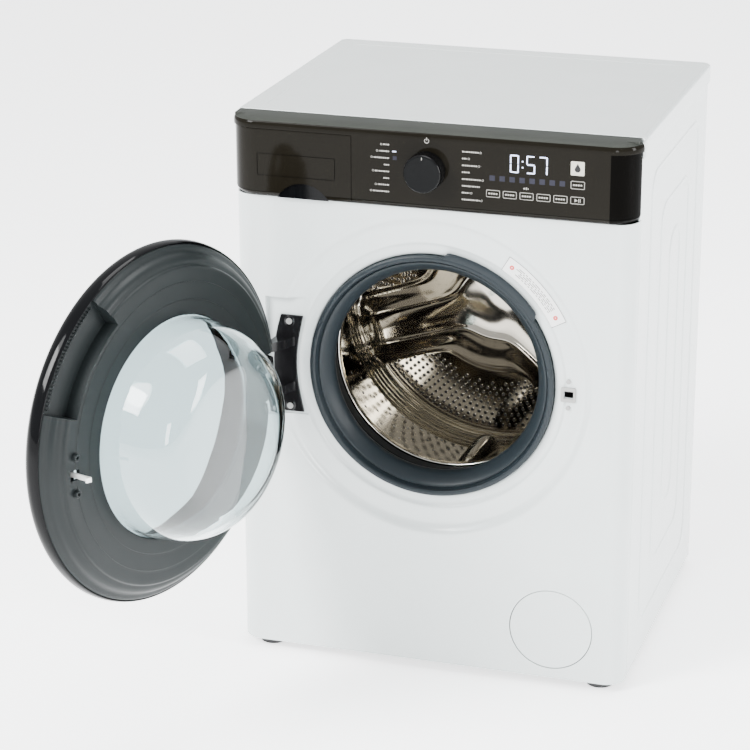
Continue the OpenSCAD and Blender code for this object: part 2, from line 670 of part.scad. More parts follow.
module drum_spider() color("gray") inwards(0, drum_y1 + 2.2, axis_z) difference() {
    union() {
        cylinder(h = 15, r = 40);
        for (a = [0:120:240]) rotate([0, 0, a + 42]) translate([0, -16, 0]) cube([226, 32, 12]);
    }
    translate([0, 0, -1]) cylinder(h = 30, r = shaft_r);
}

module drum_shaft() color("silver") inwards(0, drum_y1 + 2.2, axis_z) {
    cylinder(h = 96, r = shaft_r);
}

module drum_pulley() color("silver") inwards(0, 464, axis_z) difference() {
    union() {
        cylinder(h = 10, r = 24);
        difference() {
            cylinder(h = 10, r = pulley_r);
            translate([0, 0, -1]) cylinder(h = 12, r = 128);
        }
        for (a = [0:60:300]) rotate([0, 0, a]) translate([10, -8, 2]) cube([122, 16, 6]);
    }
    translate([0, 0, -1]) cylinder(h = 20, r = shaft_r);
}

module motor_pulley() color("silver") {
    inwards(motor_x, 276, motor_z) cylinder(h = 186, r = 6);
    inwards(motor_x, 462, motor_z) cylinder(h = 14, r = motor_pulley_r);
}

// ---- door ----

module lug_slots() for (s = [-1, 1]) {
    translate([-264, front_y - 62, axis_z + s * 35 - 10]) cube([30, 70, 20]);
    translate([-250, front_y - 42, axis_z + s * 35 - 10]) cube([45, 50, 20]);
}

module door_outer_ring() color("black") on_door() difference() {
    turned([[254, -28.6], [door_r - 1, -33], [door_r, -42], [door_r - 3, -50], [246, -57], [225, -63],
        [180, -67], [180, -63.5], [224, -59.5], [244, -53.5], [250.5, -47.5], [253.4, -41], [252.8, -34], [252.3, -28.6]]);
    lug_slots();
}

module door_outer_window() color("silver") on_door() turned([[0, -68.5], [100, -68], [179.6, -66.8],
    [179.6, -63], [100, -64.5], [0, -65]]);

module door_inner_ring() color("dimgray") on_door() difference() {
    union() {
        turned([[251.6, -31], [251.6, -27.5], [247, -24], [238, -20], [234, -12], [228, -8.5], [206, -6],
            [192, -4], [157.5, -4], [157.5, -8], [190, -8], [205, -10], [226, -12.5], [230.5, -15],
            [234, -24], [245, -28], [248, -31]]);
        for (z = [-26, 26]) inwards(lock_x, -7, lock_z + z) cylinder(h = 6, r = 5);
        // Block that the finger pocket is sunk into
        turned([[205.5, -31], [205.5, -9], [227, -11], [235, -21], [249.3, -29.5], [249.3, -36.5]],
            from = -60.2, sweep = 42.4);
    }
    // Finger pocket, upper part of the free side
    inwards(0, 0, axis_z) rotate([0, 0, -58.5]) rotate_extrude(angle = 39)
        polygon([[209, -27.2], [209, 5], [262, 5], [262, -33.8]]);
    lug_slots();
    translate([-264, front_y - 62, axis_z - 26]) cube([31, 60, 52]);
    translate([lock_x - 6, front_y - 40, lock_z - 7]) cube([14, 60, 14]);
    for (z = [-26, 26]) inwards(lock_x, -14, lock_z + z) cylinder(h = 20, r = 2);
}

module door_glass() color("lightblue") on_door() turned([
    [172, -12.5], [172, -8.6], [157, -8.6], [156, 4], [154, 22], [150.5, 45], [143, 66], [133, 83], [122, 93],
    [108, 99], [60, 102], [0, 103], [0, 98], [60, 97], [106, 94], [119, 88.5], [129, 79.5], [138.5, 64],
    [145.5, 44], [149, 22], [151, 4], [152, -8.6], [153, -12.5]
]);

module door_hinge_plate() color("dimgray") on_door() difference() {
    union() {
        translate([hinge_x, hinge_y, axis_z - 25]) cylinder(h = 50, r = 5.4);
        translate([hinge_x, hinge_y + 2, axis_z - 25]) cube([14, 3, 50]);
        translate([hinge_x + 11, hinge_y + 2, axis_z - 25]) cube([3, 24, 50]);
        translate([hinge_x + 11, hinge_y + 23, axis_z - 25]) cube([24, 3, 50]);
    }
    translate([hinge_x, hinge_y, axis_z - 30]) cylinder(h = 60, r = 3.05);
}

module latch_hook() color("silver") on_door() {
    translate([lock_x, front_y - 16, lock_z - 5]) cylinder(h = 10, r = 4);
    translate([lock_x - 1.5, front_y - 16, lock_z - 3.5]) cube([3, 38, 7]);
    translate([lock_x - 1.5, front_y + 18, lock_z - 3.5]) cube([8, 4, 7]);
}

side_panel(-1);  // left_side_panel
side_panel(1);  // right_side_panel
front_panel();
rear_panel();
rear_service_cover();
base_tray();
feet();
foot_lock_nuts();
top_cover();
top_braces();
control_fascia();
display_window();
control_board();
dispenser_housing();
inlet_valve();
inlet_hose();
dispenser_hose();
drain_hose();
sump_hose();
drain_pump();
mains_filter();
hinge_bracket();
hinge_pin();
panel_screws();
door_lock();
lock_plate();
gasket_clamp();
door_gasket();
damper_cylinders();
suspension_springs();
tub_front();
tub_rear();
tub_seal();
counterweight_top();
counterweights_front();
heater();
motor();
bearings();
drive_belt();
damper_rods();
drum_shell();
drum_front();
drum_back();
drum_lifters();
drum_spider();
drum_shaft();
drum_pulley();
motor_pulley();
door_outer_ring();
door_outer_window();
door_inner_ring();
door_glass();
door_hinge_plate();
latch_hook();
drawer_front();
detergent_drawer();
program_knob();
filter_hatch();
pump_filter();
pump_impeller();
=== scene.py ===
"""The looks of a front load washing machine with its door open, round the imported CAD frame."""
import math

import bmesh
import bpy
from mathutils import Matrix, Vector


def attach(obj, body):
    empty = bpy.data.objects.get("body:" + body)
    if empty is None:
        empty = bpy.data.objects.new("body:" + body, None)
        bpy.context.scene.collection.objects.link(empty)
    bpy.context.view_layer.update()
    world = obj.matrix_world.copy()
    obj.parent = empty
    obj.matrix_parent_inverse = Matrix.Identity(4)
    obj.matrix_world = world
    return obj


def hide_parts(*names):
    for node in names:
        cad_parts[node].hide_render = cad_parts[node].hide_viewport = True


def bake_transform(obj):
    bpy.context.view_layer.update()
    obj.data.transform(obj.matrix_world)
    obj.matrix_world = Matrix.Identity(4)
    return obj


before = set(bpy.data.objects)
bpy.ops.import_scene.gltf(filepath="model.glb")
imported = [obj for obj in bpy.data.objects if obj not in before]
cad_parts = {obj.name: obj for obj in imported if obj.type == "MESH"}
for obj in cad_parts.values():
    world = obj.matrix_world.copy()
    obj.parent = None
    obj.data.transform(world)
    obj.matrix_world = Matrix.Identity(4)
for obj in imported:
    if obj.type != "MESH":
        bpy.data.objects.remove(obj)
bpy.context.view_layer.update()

MM = 0.001
HALF_W = 298
FRONT_Y = -256
BACK_Y = 256
AXIS_Z = 466
FASCIA_Y = FRONT_Y - 10
FASCIA_Z = 722
FASCIA_BACK = FRONT_Y + 24
FASCIA_R = 42
LIP_Z = 822
TOP_Z = 840
SEAM_X = -113
CORNER_R = 30
HINGE = (-243, FRONT_Y - 46)
DOOR_OPEN = math.radians(108)
LOCK = (206, AXIS_Z - 5)
HATCH = (189, 92, 62)
KNOB = (-2, 781, 27)
DRUM_FRONT = 104
DRUM_BACK = 388
DRUM_R = 233
ROUND = 160


# ---- materials ----

class Nodes:
    """A new material and short ways to add and join its nodes."""

    def __init__(self, name, **sockets):
        self.material = bpy.data.materials.new(name)
        self.material.use_nodes = True
        self.tree = self.material.node_tree
        self.shader = self.tree.nodes["Principled BSDF"]
        for key, value in sockets.items():
            self.shader.inputs[key.replace("_", " ")].default_value = value

    def add(self, kind, **values):
        node = self.tree.nodes.new("ShaderNode" + kind)
        for key, value in values.items():
            if key in node.inputs:
                node.inputs[key].default_value = value
            else:
                setattr(node, key, value)
        return node

    def join(self, a, output, b, socket):
        self.tree.links.new(a.outputs[output], b.inputs[socket])

    def noise(self, scale, detail=3.0, stretch=(1, 1, 1)):
        """Object-space noise, stretched along an axis where the grain runs."""
        place = self.add("TexCoord")
        mapping = self.add("Mapping")
        mapping.inputs["Scale"].default_value = stretch
        self.join(place, "Object", mapping, "Vector")
        noise = self.add("TexNoise", Scale=scale, Detail=detail)
        self.join(mapping, "Vector", noise, "Vector")
        return noise

    def ramp(self, source, low, high, start=0.3, end=0.7):
        """Maps a noise to a colour between low and high."""
        ramp = self.add("ValToRGB")
        ramp.color_ramp.elements[0].position = start
        ramp.color_ramp.elements[1].position = end
        ramp.color_ramp.elements[0].color = (*low, 1)
        ramp.color_ramp.elements[1].color = (*high, 1)
        self.join(source, "Fac", ramp, "Fac")
        return ramp

    def colour(self, low, high, scale=12, stretch=(1, 1, 1)):
        ramp = self.ramp(self.noise(scale, 4, stretch), low, high)
        self.join(ramp, "Color", self.shader, "Base Color")

    def roughness(self, low, high, scale=30, stretch=(1, 1, 1)):
        spread = self.add("MapRange")
        spread.inputs["To Min"].default_value = low
        spread.inputs["To Max"].default_value = high
        self.join(self.noise(scale, 4, stretch), "Fac", spread, "Value")
        self.join(spread, "Result", self.shader, "Roughness")

    def bump(self, scale, strength, distance, detail=3.0, stretch=(1, 1, 1)):
        bump = self.add("Bump", Strength=strength, Distance=distance)
        self.join(self.noise(scale, detail, stretch), "Fac", bump, "Height")
        self.join(bump, "Normal", self.shader, "Normal")


def surface(name, low, high, rough, grain=(900, 0.05, 0.0002), spot=12, stretch=(1, 1, 1), **sockets):
    """A material with a slight colour drift, uneven gloss and a fine surface grain."""
    nodes = Nodes(name, **sockets)
    nodes.colour(low, high, spot, stretch)
    nodes.roughness(rough[0], rough[1], 25, stretch)
    if grain:
        nodes.bump(*grain, stretch=stretch)
    return nodes.material


MATERIALS = {
    "enamel": surface("enamel", (0.57, 0.615, 0.61), (0.595, 0.64, 0.635), (0.16, 0.24),
                      (1400, 0.06, 0.00008), Coat_Weight=0.35, Coat_Roughness=0.08),
    "lid": surface("lid", (0.48, 0.51, 0.502), (0.50, 0.53, 0.522), (0.34, 0.44), (2200, 0.12, 0.00008)),
    "galvanised": surface("galvanised", (0.52, 0.54, 0.56), (0.62, 0.64, 0.66), (0.3, 0.5), (160, 0.1, 0.0002),
                          spot=60, Metallic=0.85),
    "base_grey": surface("base_grey", (0.10, 0.105, 0.11), (0.13, 0.135, 0.14), (0.4, 0.5)),
    "black_rubber": surface("black_rubber", (0.012, 0.012, 0.013), (0.02, 0.02, 0.021), (0.5, 0.7)),
    "zinc": surface("zinc", (0.55, 0.57, 0.6), (0.68, 0.7, 0.72), (0.2, 0.34), (400, 0.08, 0.0002), Metallic=1.0),
    "dull_zinc": surface("dull_zinc", (0.27, 0.27, 0.26), (0.34, 0.34, 0.33), (0.3, 0.45), (400, 0.08, 0.0002), Metallic=0.3),
    "fascia": surface("fascia", (0.0050, 0.0042, 0.0028), (0.0060, 0.0052, 0.0036), (0.05, 0.09),
                      (500, 0.03, 0.0001), Specular_IOR_Level=0.06),
    # A deeper black for the fascia's right end: a painted dark reflection
    "fascia_dark": surface("fascia_dark", (0.0008, 0.0007, 0.0005), (0.0012, 0.0010, 0.0008), (0.05, 0.09),
                           (500, 0.03, 0.0001), Specular_IOR_Level=0.02),
    # A rougher grey for the fascia's upward faces; its lighter tone is a painted reflection of the bright light above
    "fascia_top": surface("fascia_top", (0.026, 0.028, 0.025), (0.031, 0.033, 0.029), (0.40, 0.48), (1500, 0.1, 0.0001),
                          IOR=1.14),
    "print_grey": surface("print_grey", (0.28, 0.27, 0.25), (0.34, 0.33, 0.30), (0.4, 0.5)),
    "print_cream": surface("print_cream", (0.42, 0.40, 0.34), (0.48, 0.46, 0.39), (0.4, 0.5)),
    "print_red": surface("print_red", (0.50, 0.03, 0.03), (0.60, 0.05, 0.045), (0.4, 0.5)),
    "print_dim": surface("print_dim", (0.010, 0.010, 0.017), (0.014, 0.014, 0.023), (0.1, 0.16), Specular_IOR_Level=0.14),
    "lamp": surface("lamp", (0.62, 0.68, 0.95), (0.72, 0.78, 1.0), (0.4, 0.5),
                    Emission_Color=(0.62, 0.70, 1.0, 1), Emission_Strength=1.1),
    "knob_face": surface("knob_face", (0.0022, 0.0024, 0.0026), (0.0032, 0.0035, 0.0038), (0.28, 0.36),
                         (1800, 0.15, 0.0001), Specular_IOR_Level=0.07),
    "knob_side": surface("knob_side", (0.002, 0.002, 0.0022), (0.003, 0.003, 0.0032), (0.06, 0.12), Specular_IOR_Level=0.12),
    "gasket": surface("gasket", (0.0085, 0.0125, 0.0155), (0.0112, 0.0158, 0.019), (0.34, 0.46),
                      (700, 0.10, 0.0003), spot=9, Specular_IOR_Level=0.2),
    "door_grey": surface("door_grey", (0.0070, 0.0094, 0.0098), (0.0090, 0.0116, 0.0120), (0.34, 0.44),
                         (1600, 0.16, 0.00012), Specular_IOR_Level=0.16),
    "door_black": surface("door_black", (0.0016, 0.0017, 0.002), (0.0024, 0.0026, 0.003), (0.05, 0.1), Specular_IOR_Level=0.10),
    "gloss_black": surface("gloss_black", (0.004, 0.004, 0.0044), (0.006, 0.006, 0.0066), (0.10, 0.18), Specular_IOR_Level=0.25),
    "pale_plastic": surface("pale_plastic", (0.56, 0.58, 0.58), (0.64, 0.66, 0.66), (0.35, 0.45)),
    "grey_plastic": surface("grey_plastic", (0.22, 0.23, 0.24), (0.28, 0.29, 0.30), (0.4, 0.5)),
    "board": surface("board", (0.01, 0.08, 0.03), (0.02, 0.11, 0.05), (0.3, 0.45), spot=120),
    "concrete": surface("concrete", (0.22, 0.21, 0.2), (0.34, 0.33, 0.31), (0.8, 0.95), (90, 0.5, 0.002), spot=40),
    "cast": surface("cast", (0.42, 0.43, 0.44), (0.52, 0.53, 0.54), (0.4, 0.55), (200, 0.25, 0.0006), Metallic=1.0),
    # A darker, warmer copy of steel_bright for the inside of the drum: painted shade
    "steel": surface("steel", (0.34, 0.315, 0.265), (0.41, 0.385, 0.33), (0.07, 0.12), (60, 0.02, 0.0004),
                     spot=5, Metallic=1.0),
    "steel_bright": surface("steel_bright", (0.62, 0.60, 0.55), (0.70, 0.68, 0.63), (0.07, 0.13),
                            (60, 0.02, 0.0004), spot=5, Metallic=1.0),
    "hook_steel": surface("hook_steel", (0.62, 0.62, 0.60), (0.72, 0.72, 0.70), (0.26, 0.38), Metallic=0.55),
    # The tub's plastic darkened: painted shade for the gap seen behind the gasket
    "tub_painted_shade": surface("tub_painted_shade", (0.010, 0.011, 0.012), (0.015, 0.016, 0.017), (0.5, 0.6), Specular_IOR_Level=0.2),
    "print_dark": surface("print_dark", (0.02, 0.016, 0.013), (0.03, 0.025, 0.02), (0.4, 0.5)),
    # Near black for the insides of holes and recesses: painted shade
    "hole": surface("hole", (0.004, 0.004, 0.004), (0.008, 0.007, 0.006), (0.7, 0.8)),
    "white_print": surface("white_print", (0.74, 0.745, 0.735), (0.78, 0.785, 0.775), (0.3, 0.4)),
}


def clear(name, colour, rough, ior):
    """Clear glass or plastic with faint waves and a trace of unevenness in its gloss."""
    nodes = Nodes(name, Transmission_Weight=1.0, IOR=ior, Alpha=1.0)
    nodes.shader.inputs["Base Color"].default_value = (*colour, 1)
    nodes.roughness(rough, rough + 0.02, 8)
    nodes.bump(14, 0.05, 0.002)
    return nodes.material


MATERIALS["glass"] = clear("glass", (0.76, 0.84, 0.855), 0.0, 1.5)
MATERIALS["window"] = clear("window", (0.36, 0.43, 0.44), 0.06, 1.12)


# ---- mesh helpers, in millimetres ----

def piece(name, verts, faces, material, body, stands_for=(), slot=None, sharp=32, door=False, bevel=0):
    """Makes a mesh piece from millimetre points and lets it ride on its CAD body."""
    mesh = bpy.data.meshes.new(name)
    mesh.from_pydata([Vector(v) * MM for v in verts], [], faces)
    obj = bpy.data.objects.new(name, mesh)
    bpy.context.scene.collection.objects.link(obj)
    build = bmesh.new()
    build.from_mesh(mesh)
    bmesh.ops.remove_doubles(build, verts=build.verts, dist=1e-6)
    bmesh.ops.recalc_face_normals(build, faces=build.faces)
    build.to_mesh(mesh)
    build.free()
    materials = material if isinstance(material, (list, tuple)) else [material]
    for m in materials:
        mesh.materials.append(MATERIALS[m])
    if door:
        mesh.transform(DOOR_TURN)
    if bevel:
        soften(obj, bevel)
    finish_shading(obj, sharp)
    settle(obj, body, stands_for)
    return obj


def settle(obj, body, stands_for):
    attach(obj, body)
    if stands_for:
        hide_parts(*stands_for)


def finish_shading(obj, sharp):
    mesh = obj.data
    mesh.polygons.foreach_set("use_smooth", [True] * len(mesh.polygons))
    mesh.set_sharp_from_angle(angle=math.radians(sharp))
    weigh = obj.modifiers.new("weigh", "WEIGHTED_NORMAL")
    weigh.keep_sharp = True
    weigh.weight = 80
    apply(obj)


def apply(obj):
    """Applies every modifier of obj to its mesh."""
    bpy.context.view_layer.update()
    graph = bpy.context.evaluated_depsgraph_get()
    made = bpy.data.meshes.new_from_object(obj.evaluated_get(graph), preserve_all_data_layers=True, depsgraph=graph)
    obj.modifiers.clear()
    obj.data = made
    made.name = obj.name


def soften(obj, width, segments=3):
    """Rounds every edge sharper than 35 degrees."""
    bevel = obj.modifiers.new("soften", "BEVEL")
    bevel.width = width * MM
    bevel.segments = segments
    bevel.limit_method = "ANGLE"
    bevel.angle_limit = math.radians(35)
    apply(obj)


def cut(obj, *cutters, operation="DIFFERENCE"):
    """Boolean of obj with scratch meshes, which are then removed."""
    for cutter in cutters:
        step = obj.modifiers.new("cut", "BOOLEAN")
        step.operation = operation
        step.solver = "EXACT"
        step.object = cutter
        apply(obj)
        bpy.data.objects.remove(cutter)


def thicken(obj, thickness):
    solid = obj.modifiers.new("thicken", "SOLIDIFY")
    solid.thickness = thickness * MM
    solid.offset = -1
    solid.use_even_offset = True
    apply(obj)


def scratch(name, verts, faces):
    mesh = bpy.data.meshes.new(name)
    mesh.from_pydata([Vector(v) * MM for v in verts], [], faces)
    obj = bpy.data.objects.new(name, mesh)
    bpy.context.scene.collection.objects.link(obj)
    build = bmesh.new()
    build.from_mesh(mesh)
    bmesh.ops.recalc_face_normals(build, faces=build.faces)
    build.to_mesh(mesh)
    build.free()
    return obj


def scratch_box(low, high):
    x0, y0, z0 = low
    x1, y1, z1 = high
    verts = [(x, y, z) for x in (x0, x1) for y in (y0, y1) for z in (z0, z1)]
    return scratch("box", verts, [(0, 1, 3, 2), (4, 6, 7, 5), (0, 4, 5, 1), (2, 3, 7, 6), (0, 2, 6, 4), (1, 5, 7, 3)])


def lathe_data(profile, start=0.0, sweep=360.0, steps=ROUND, centre=(0, AXIS_Z), shape=None, closed=True):
    """Turns [radius, depth] points round an axis along Y; shape may move a point by its angle."""
    whole = abs(sweep - 360) < 1e-6
    count = steps if whole else steps + 1
    verts = []
    for i in range(count):
        turn = math.radians(start + sweep * i / steps)
        for k, (r, d) in enumerate(profile):
            if shape:
                r, d = shape(k, r, d, turn)
            verts.append((centre[0] + r * math.cos(turn), FRONT_Y + d, centre[1] + r * math.sin(turn)))
    n = len(profile)
    faces = []
    for i in range(steps):
        j = (i + 1) % count
        for k in range(n if closed else n - 1):
            m = (k + 1) % n
            faces.append((i * n + k, i * n + m, j * n + m, j * n + k))
    if not whole and closed:
        faces.append(tuple(range(n)))
        faces.append(tuple(range((count - 1) * n, count * n)))
    return verts, faces


def smooth_profile(points, rounds=2):
    """Chaikin corner cutting on a closed profile, for soft moulded edges."""
    for _ in range(rounds):
        cut_points = []
        for i, p in enumerate(points):
            q = points[(i + 1) % len(points)]
            cut_points.append((p[0] * 0.75 + q[0] * 0.25, p[1] * 0.75 + q[1] * 0.25))
            cut_points.append((p[0] * 0.25 + q[0] * 0.75, p[1] * 0.25 + q[1] * 0.75))
        points = cut_points
    return points


def curve_profile(points, steps=4):
    """A smooth open line through points, by Catmull-Rom."""
    line = []
    for i in range(len(points) - 1):
        p0 = points[max(i - 1, 0)]
        p1, p2 = points[i], points[i + 1]
        p3 = points[min(i + 2, len(points) - 1)]
        for s in range(steps):
            t = s / steps
            line.append(tuple(0.5 * (2 * b + (c - a) * t + (2 * a - 5 * b + 4 * c - d) * t * t
                                     + (3 * b - a - 3 * c + d) * t ** 3) for a, b, c, d in zip(p0, p1, p2, p3)))
    line.append(points[-1])
    return line


def prism_data(outline, y0, y1):
    """A solid between depths y0 and y1 with an x, z outline."""
    n = len(outline)
    verts = [(x, FRONT_Y + y, z) for y in (y0, y1) for x, z in outline]
    faces = [tuple(range(n)), tuple(range(n, 2 * n))]
    faces += [(i, (i + 1) % n, n + (i + 1) % n, n + i) for i in range(n)]
    return verts, faces


def disc(x, z, r, count=24, start=0.0):
    return [(x + r * math.cos(start + 2 * math.pi * i / count), z + r * math.sin(start + 2 * math.pi * i / count))
            for i in range(count)]


def round_rect(x0, z0, x1, z1, r, steps=8):
    points = []
    for cx, cz, a in ((x1 - r, z1 - r, 0), (x0 + r, z1 - r, 90), (x0 + r, z0 + r, 180), (x1 - r, z0 + r, 270)):
        for i in range(steps + 1):
            t = math.radians(a + 90 * i / steps)
            points.append((cx + r * math.cos(t), cz + r * math.sin(t)))
    return points


def joined(parts):
    """Several (verts, faces) in one."""
    verts, faces = [], []
    for v, f in parts:
        base = len(verts)
        verts += v
        faces += [tuple(i + base for i in face) for face in f]
    return verts, faces


def bridge(loops, fill_first=False, fill_last=False):
    """Faces between loops of equal length, each a list of 3-D points."""
    n = len(loops[0])
    verts = [p for loop in loops for p in loop]
    faces = [(a * n + i, a * n + (i + 1) % n, (a + 1) * n + (i + 1) % n, (a + 1) * n + i)
             for a in range(len(loops) - 1) for i in range(n)]
    if fill_first:
        faces.append(tuple(range(n)))
    if fill_last:
        faces.append(tuple(range((len(loops) - 1) * n, len(loops) * n)))
    return verts, faces


def ease(t):
    t = min(max(t, 0.0), 1.0)
    return t * t * (3 - 2 * t)


DOOR_TURN = (Matrix.Translation((HINGE[0] * MM, HINGE[1] * MM, 0)) @ Matrix.Rotation(-DOOR_OPEN, 4, "Z")
             @ Matrix.Translation((-HINGE[0] * MM, -HINGE[1] * MM, 0)))


# ---- camera, lights and floor ----

def make_camera():
    camera = bpy.data.objects.new("camera", bpy.data.cameras.new("camera"))
    bpy.context.scene.collection.objects.link(camera)
    yaw, pitch, roll = (math.radians(a) for a in (17.62, 19.73, -0.16))
    forward = Vector((-math.sin(yaw) * math.cos(pitch), math.cos(yaw) * math.cos(pitch), -math.sin(pitch)))
    right = Vector((math.cos(yaw), math.sin(yaw), 0))
    up = right.cross(forward)
    tilted_right = right * math.cos(roll) + up * math.sin(roll)
    tilted_up = up * math.cos(roll) - right * math.sin(roll)
    turn = Matrix((tilted_right, tilted_up, -forward)).transposed()
    camera.matrix_world = Matrix.Translation((1.0070, -3.6842, 1.7535)) @ turn.to_4x4()
    camera.data.sensor_width = 36
    camera.data.lens = 125.72
    camera.data.clip_end = 60
    bpy.context.scene.camera = camera


def area_light(name, place, target, size, power, colour=(1, 1, 1)):
    light = bpy.data.lights.new(name, "AREA")
    light.shape = "RECTANGLE"
    light.size, light.size_y = size
    light.energy = power
    light.color = colour
    obj = bpy.data.objects.new(name, light)
    obj.location = place
    obj.rotation_euler = (Vector(target) - Vector(place)).to_track_quat("-Z", "Y").to_euler()
    bpy.context.scene.collection.objects.link(obj)


def make_stage():
    world = bpy.data.worlds.new("studio")
    bpy.context.scene.world = world
    world.use_nodes = True
    background = world.node_tree.nodes["Background"]
    background.inputs["Color"].default_value = (0.96, 0.98, 1.0, 1)
    background.inputs["Strength"].default_value = 1.35
    middle = (0, 0, 0.45)
    area_light("key", (-2.2, -2.6, 2.6), middle, (1.3, 1.3), 240)
    area_light("side", (3.4, -0.6, 1.6), middle, (0.7, 2.0), 130)
    area_light("top", (0.1, 0.2, 3.4), middle, (2.0, 1.4), 90)
    area_light("drum_fill", (0.9, -2.6, 0.9), (0, 0, 0.45), (0.4, 0.8), 26)
    sun = bpy.data.objects.new("sun", bpy.data.lights.new("sun", "SUN"))
    sun.data.energy = 2.4
    sun.data.angle = math.radians(24)
    sun.rotation_euler = Vector((1.3, 1.5, -2.0)).to_track_quat("-Z", "Y").to_euler()
    bpy.context.scene.collection.objects.link(sun)
    floor_mesh = bpy.data.meshes.new("floor")
    floor_mesh.from_pydata([(-14, -14, 0), (14, -14, 0), (14, 14, 0), (-14, 14, 0)], [], [(0, 1, 2, 3)])
    floor = bpy.data.objects.new("floor", floor_mesh)
    bpy.context.scene.collection.objects.link(floor)
    paper = Nodes("paper", Specular_IOR_Level=0.1)
    paper.colour((0.955, 0.96, 0.965), (0.97, 0.975, 0.98), 2)
    paper.roughness(0.8, 0.9, 4)
    paper.shader.inputs["Emission Color"].default_value = (1, 1, 1, 1)
    paper.shader.inputs["Emission Strength"].default_value = 1.9
    floor_mesh.materials.append(paper.material)


# ---- cabinet ----

# Past this x the fascia's face takes a deeper black: a painted dark reflection
PAINTED_REFLECTION_FROM = 262     # the fascia's right end is a deeper black from here


DISH = curve_profile([(252, 0), (248, 0.02), (243, 0.4), (239, 2.0), (235, 4.8), (231, 6.8), (227, 7.7), (220, 8),
                      (211, 8.0), (206, 8.1), (203, 8.8), (200.5, 10.4), (197, 11.8), (192, 12.5), (188, 13),
                      (185.8, 14), (184.6, 16), (184.5, 20), (184.5, 28)], 3)


def front_panel():
    """The pressed sheet: a dish round the opening, flat outside it, rounded at both sides."""
    bottom, top, side = 14, FASCIA_Z - 0.6, HALF_W - CORNER_R
    turns = sorted({i * 360 / ROUND for i in range(ROUND)} | {
        math.degrees(math.atan2(z - AXIS_Z, x)) % 360 for x in (-side, side) for z in (bottom, top)})
    verts, faces = [], []
    rings = len(DISH) + 1
    for t in turns:
        c, s = math.cos(math.radians(t)), math.sin(math.radians(t))
        reach = min(side / abs(c) if abs(c) > 1e-9 else 1e9,
                    ((top - AXIS_Z) / s if s > 0 else (bottom - AXIS_Z) / s) if abs(s) > 1e-9 else 1e9)
        verts.append((reach * c, FRONT_Y, AXIS_Z + reach * s))
        verts += [(r * c, FRONT_Y + d, AXIS_Z + r * s) for r, d in DISH]
    for i in range(len(turns)):
        j = (i + 1) % len(turns)
        faces += [(i * rings + k, j * rings + k, j * rings + k + 1, i * rings + k + 1) for k in range(rings - 1)]
    # Rounded sides, one column of points for each step of the arc
    for s in (-1, 1):
        levels = sorted({bottom, top} | {v[2] for v in verts if abs(v[0] - s * side) < 1e-6 and abs(v[1] - FRONT_Y) < 1e-6})
        columns = [(s * (side + CORNER_R * math.sin(a)), FRONT_Y + CORNER_R * (1 - math.cos(a)))
                   for a in (math.radians(90 * i / 12) for i in range(13))] + [(s * HALF_W, FRONT_Y + CORNER_R + 3)]
        base = len(verts)
        verts += [(x, y, z) for x, y in columns for z in levels]
        n = len(levels)
        faces += [(base + i * n + k, base + (i + 1) * n + k, base + (i + 1) * n + k + 1, base + i * n + k + 1)
                  for i in range(len(columns) - 1) for k in range(n - 1)]
    mesh_piece = scratch("front_panel_sheet", verts, faces)
    build = bmesh.new()
    build.from_mesh(mesh_piece.data)
    bmesh.ops.remove_doubles(build, verts=build.verts, dist=2e-6)
    bmesh.ops.recalc_face_normals(build, faces=build.faces)
    if sum(f.normal.y * f.calc_area() for f in build.faces) > 0:
        bmesh.ops.reverse_faces(build, faces=build.faces)
    build.to_mesh(mesh_piece.data)
    build.free()
    thicken(mesh_piece, 2)
    pocket = ((-250, FRONT_Y - 1, AXIS_Z - 79), (-188, FRONT_Y + 9.5, AXIS_Z + 103))
    cut(mesh_piece, scratch_box(*pocket))
    tray = scratch_box((-252, FRONT_Y - 1, AXIS_Z - 81), (-189.4, FRONT_Y + 11.4, AXIS_Z + 105))
    cut(tray, scratch_box((-250, FRONT_Y - 3, AXIS_Z - 79), (-188, FRONT_Y + 9.5, AXIS_Z + 103)))
    above = [(0, -20), (300, -20), (300, 0.02)] + [(r, d + 0.03) for r, d in DISH[:-2]] + [(0, DISH[-3][1] + 0.03)]
    cut(tray, scratch("above_dish", *lathe_data(above)))
    cut(mesh_piece, tray, operation="UNION")
    cut(mesh_piece, scratch("hatch_hole", *lathe_data([(0, -6), (63.0, -6), (63.0, 12), (0, 12)], centre=HATCH[:2], steps=128)),
        scratch_box((LOCK[0] - 7, FRONT_Y + 4, LOCK[1] - 5), (LOCK[0] + 7, FRONT_Y + 16, LOCK[1] + 5)))
    mesh_piece.name = "front_panel_skin"
    mesh_piece.data.materials.clear()
    mesh_piece.data.materials.append(MATERIALS["enamel"])
    finish_shading(mesh_piece, 30)
    settle(mesh_piece, "cabinet", ["front_panel"])


def loop_rect(x, rect, r, grow, lift, s):
    """A rounded rectangle on a side panel at depth rows, pushed out by lift."""
    y0, z0, y1, z1 = rect
    points = round_rect(y0 - grow, z0 - grow, y1 + grow, z1 + grow, max(r + grow, 0.5), 10)
    return [(s * (x + lift), FRONT_Y + y, z) for y, z in points]


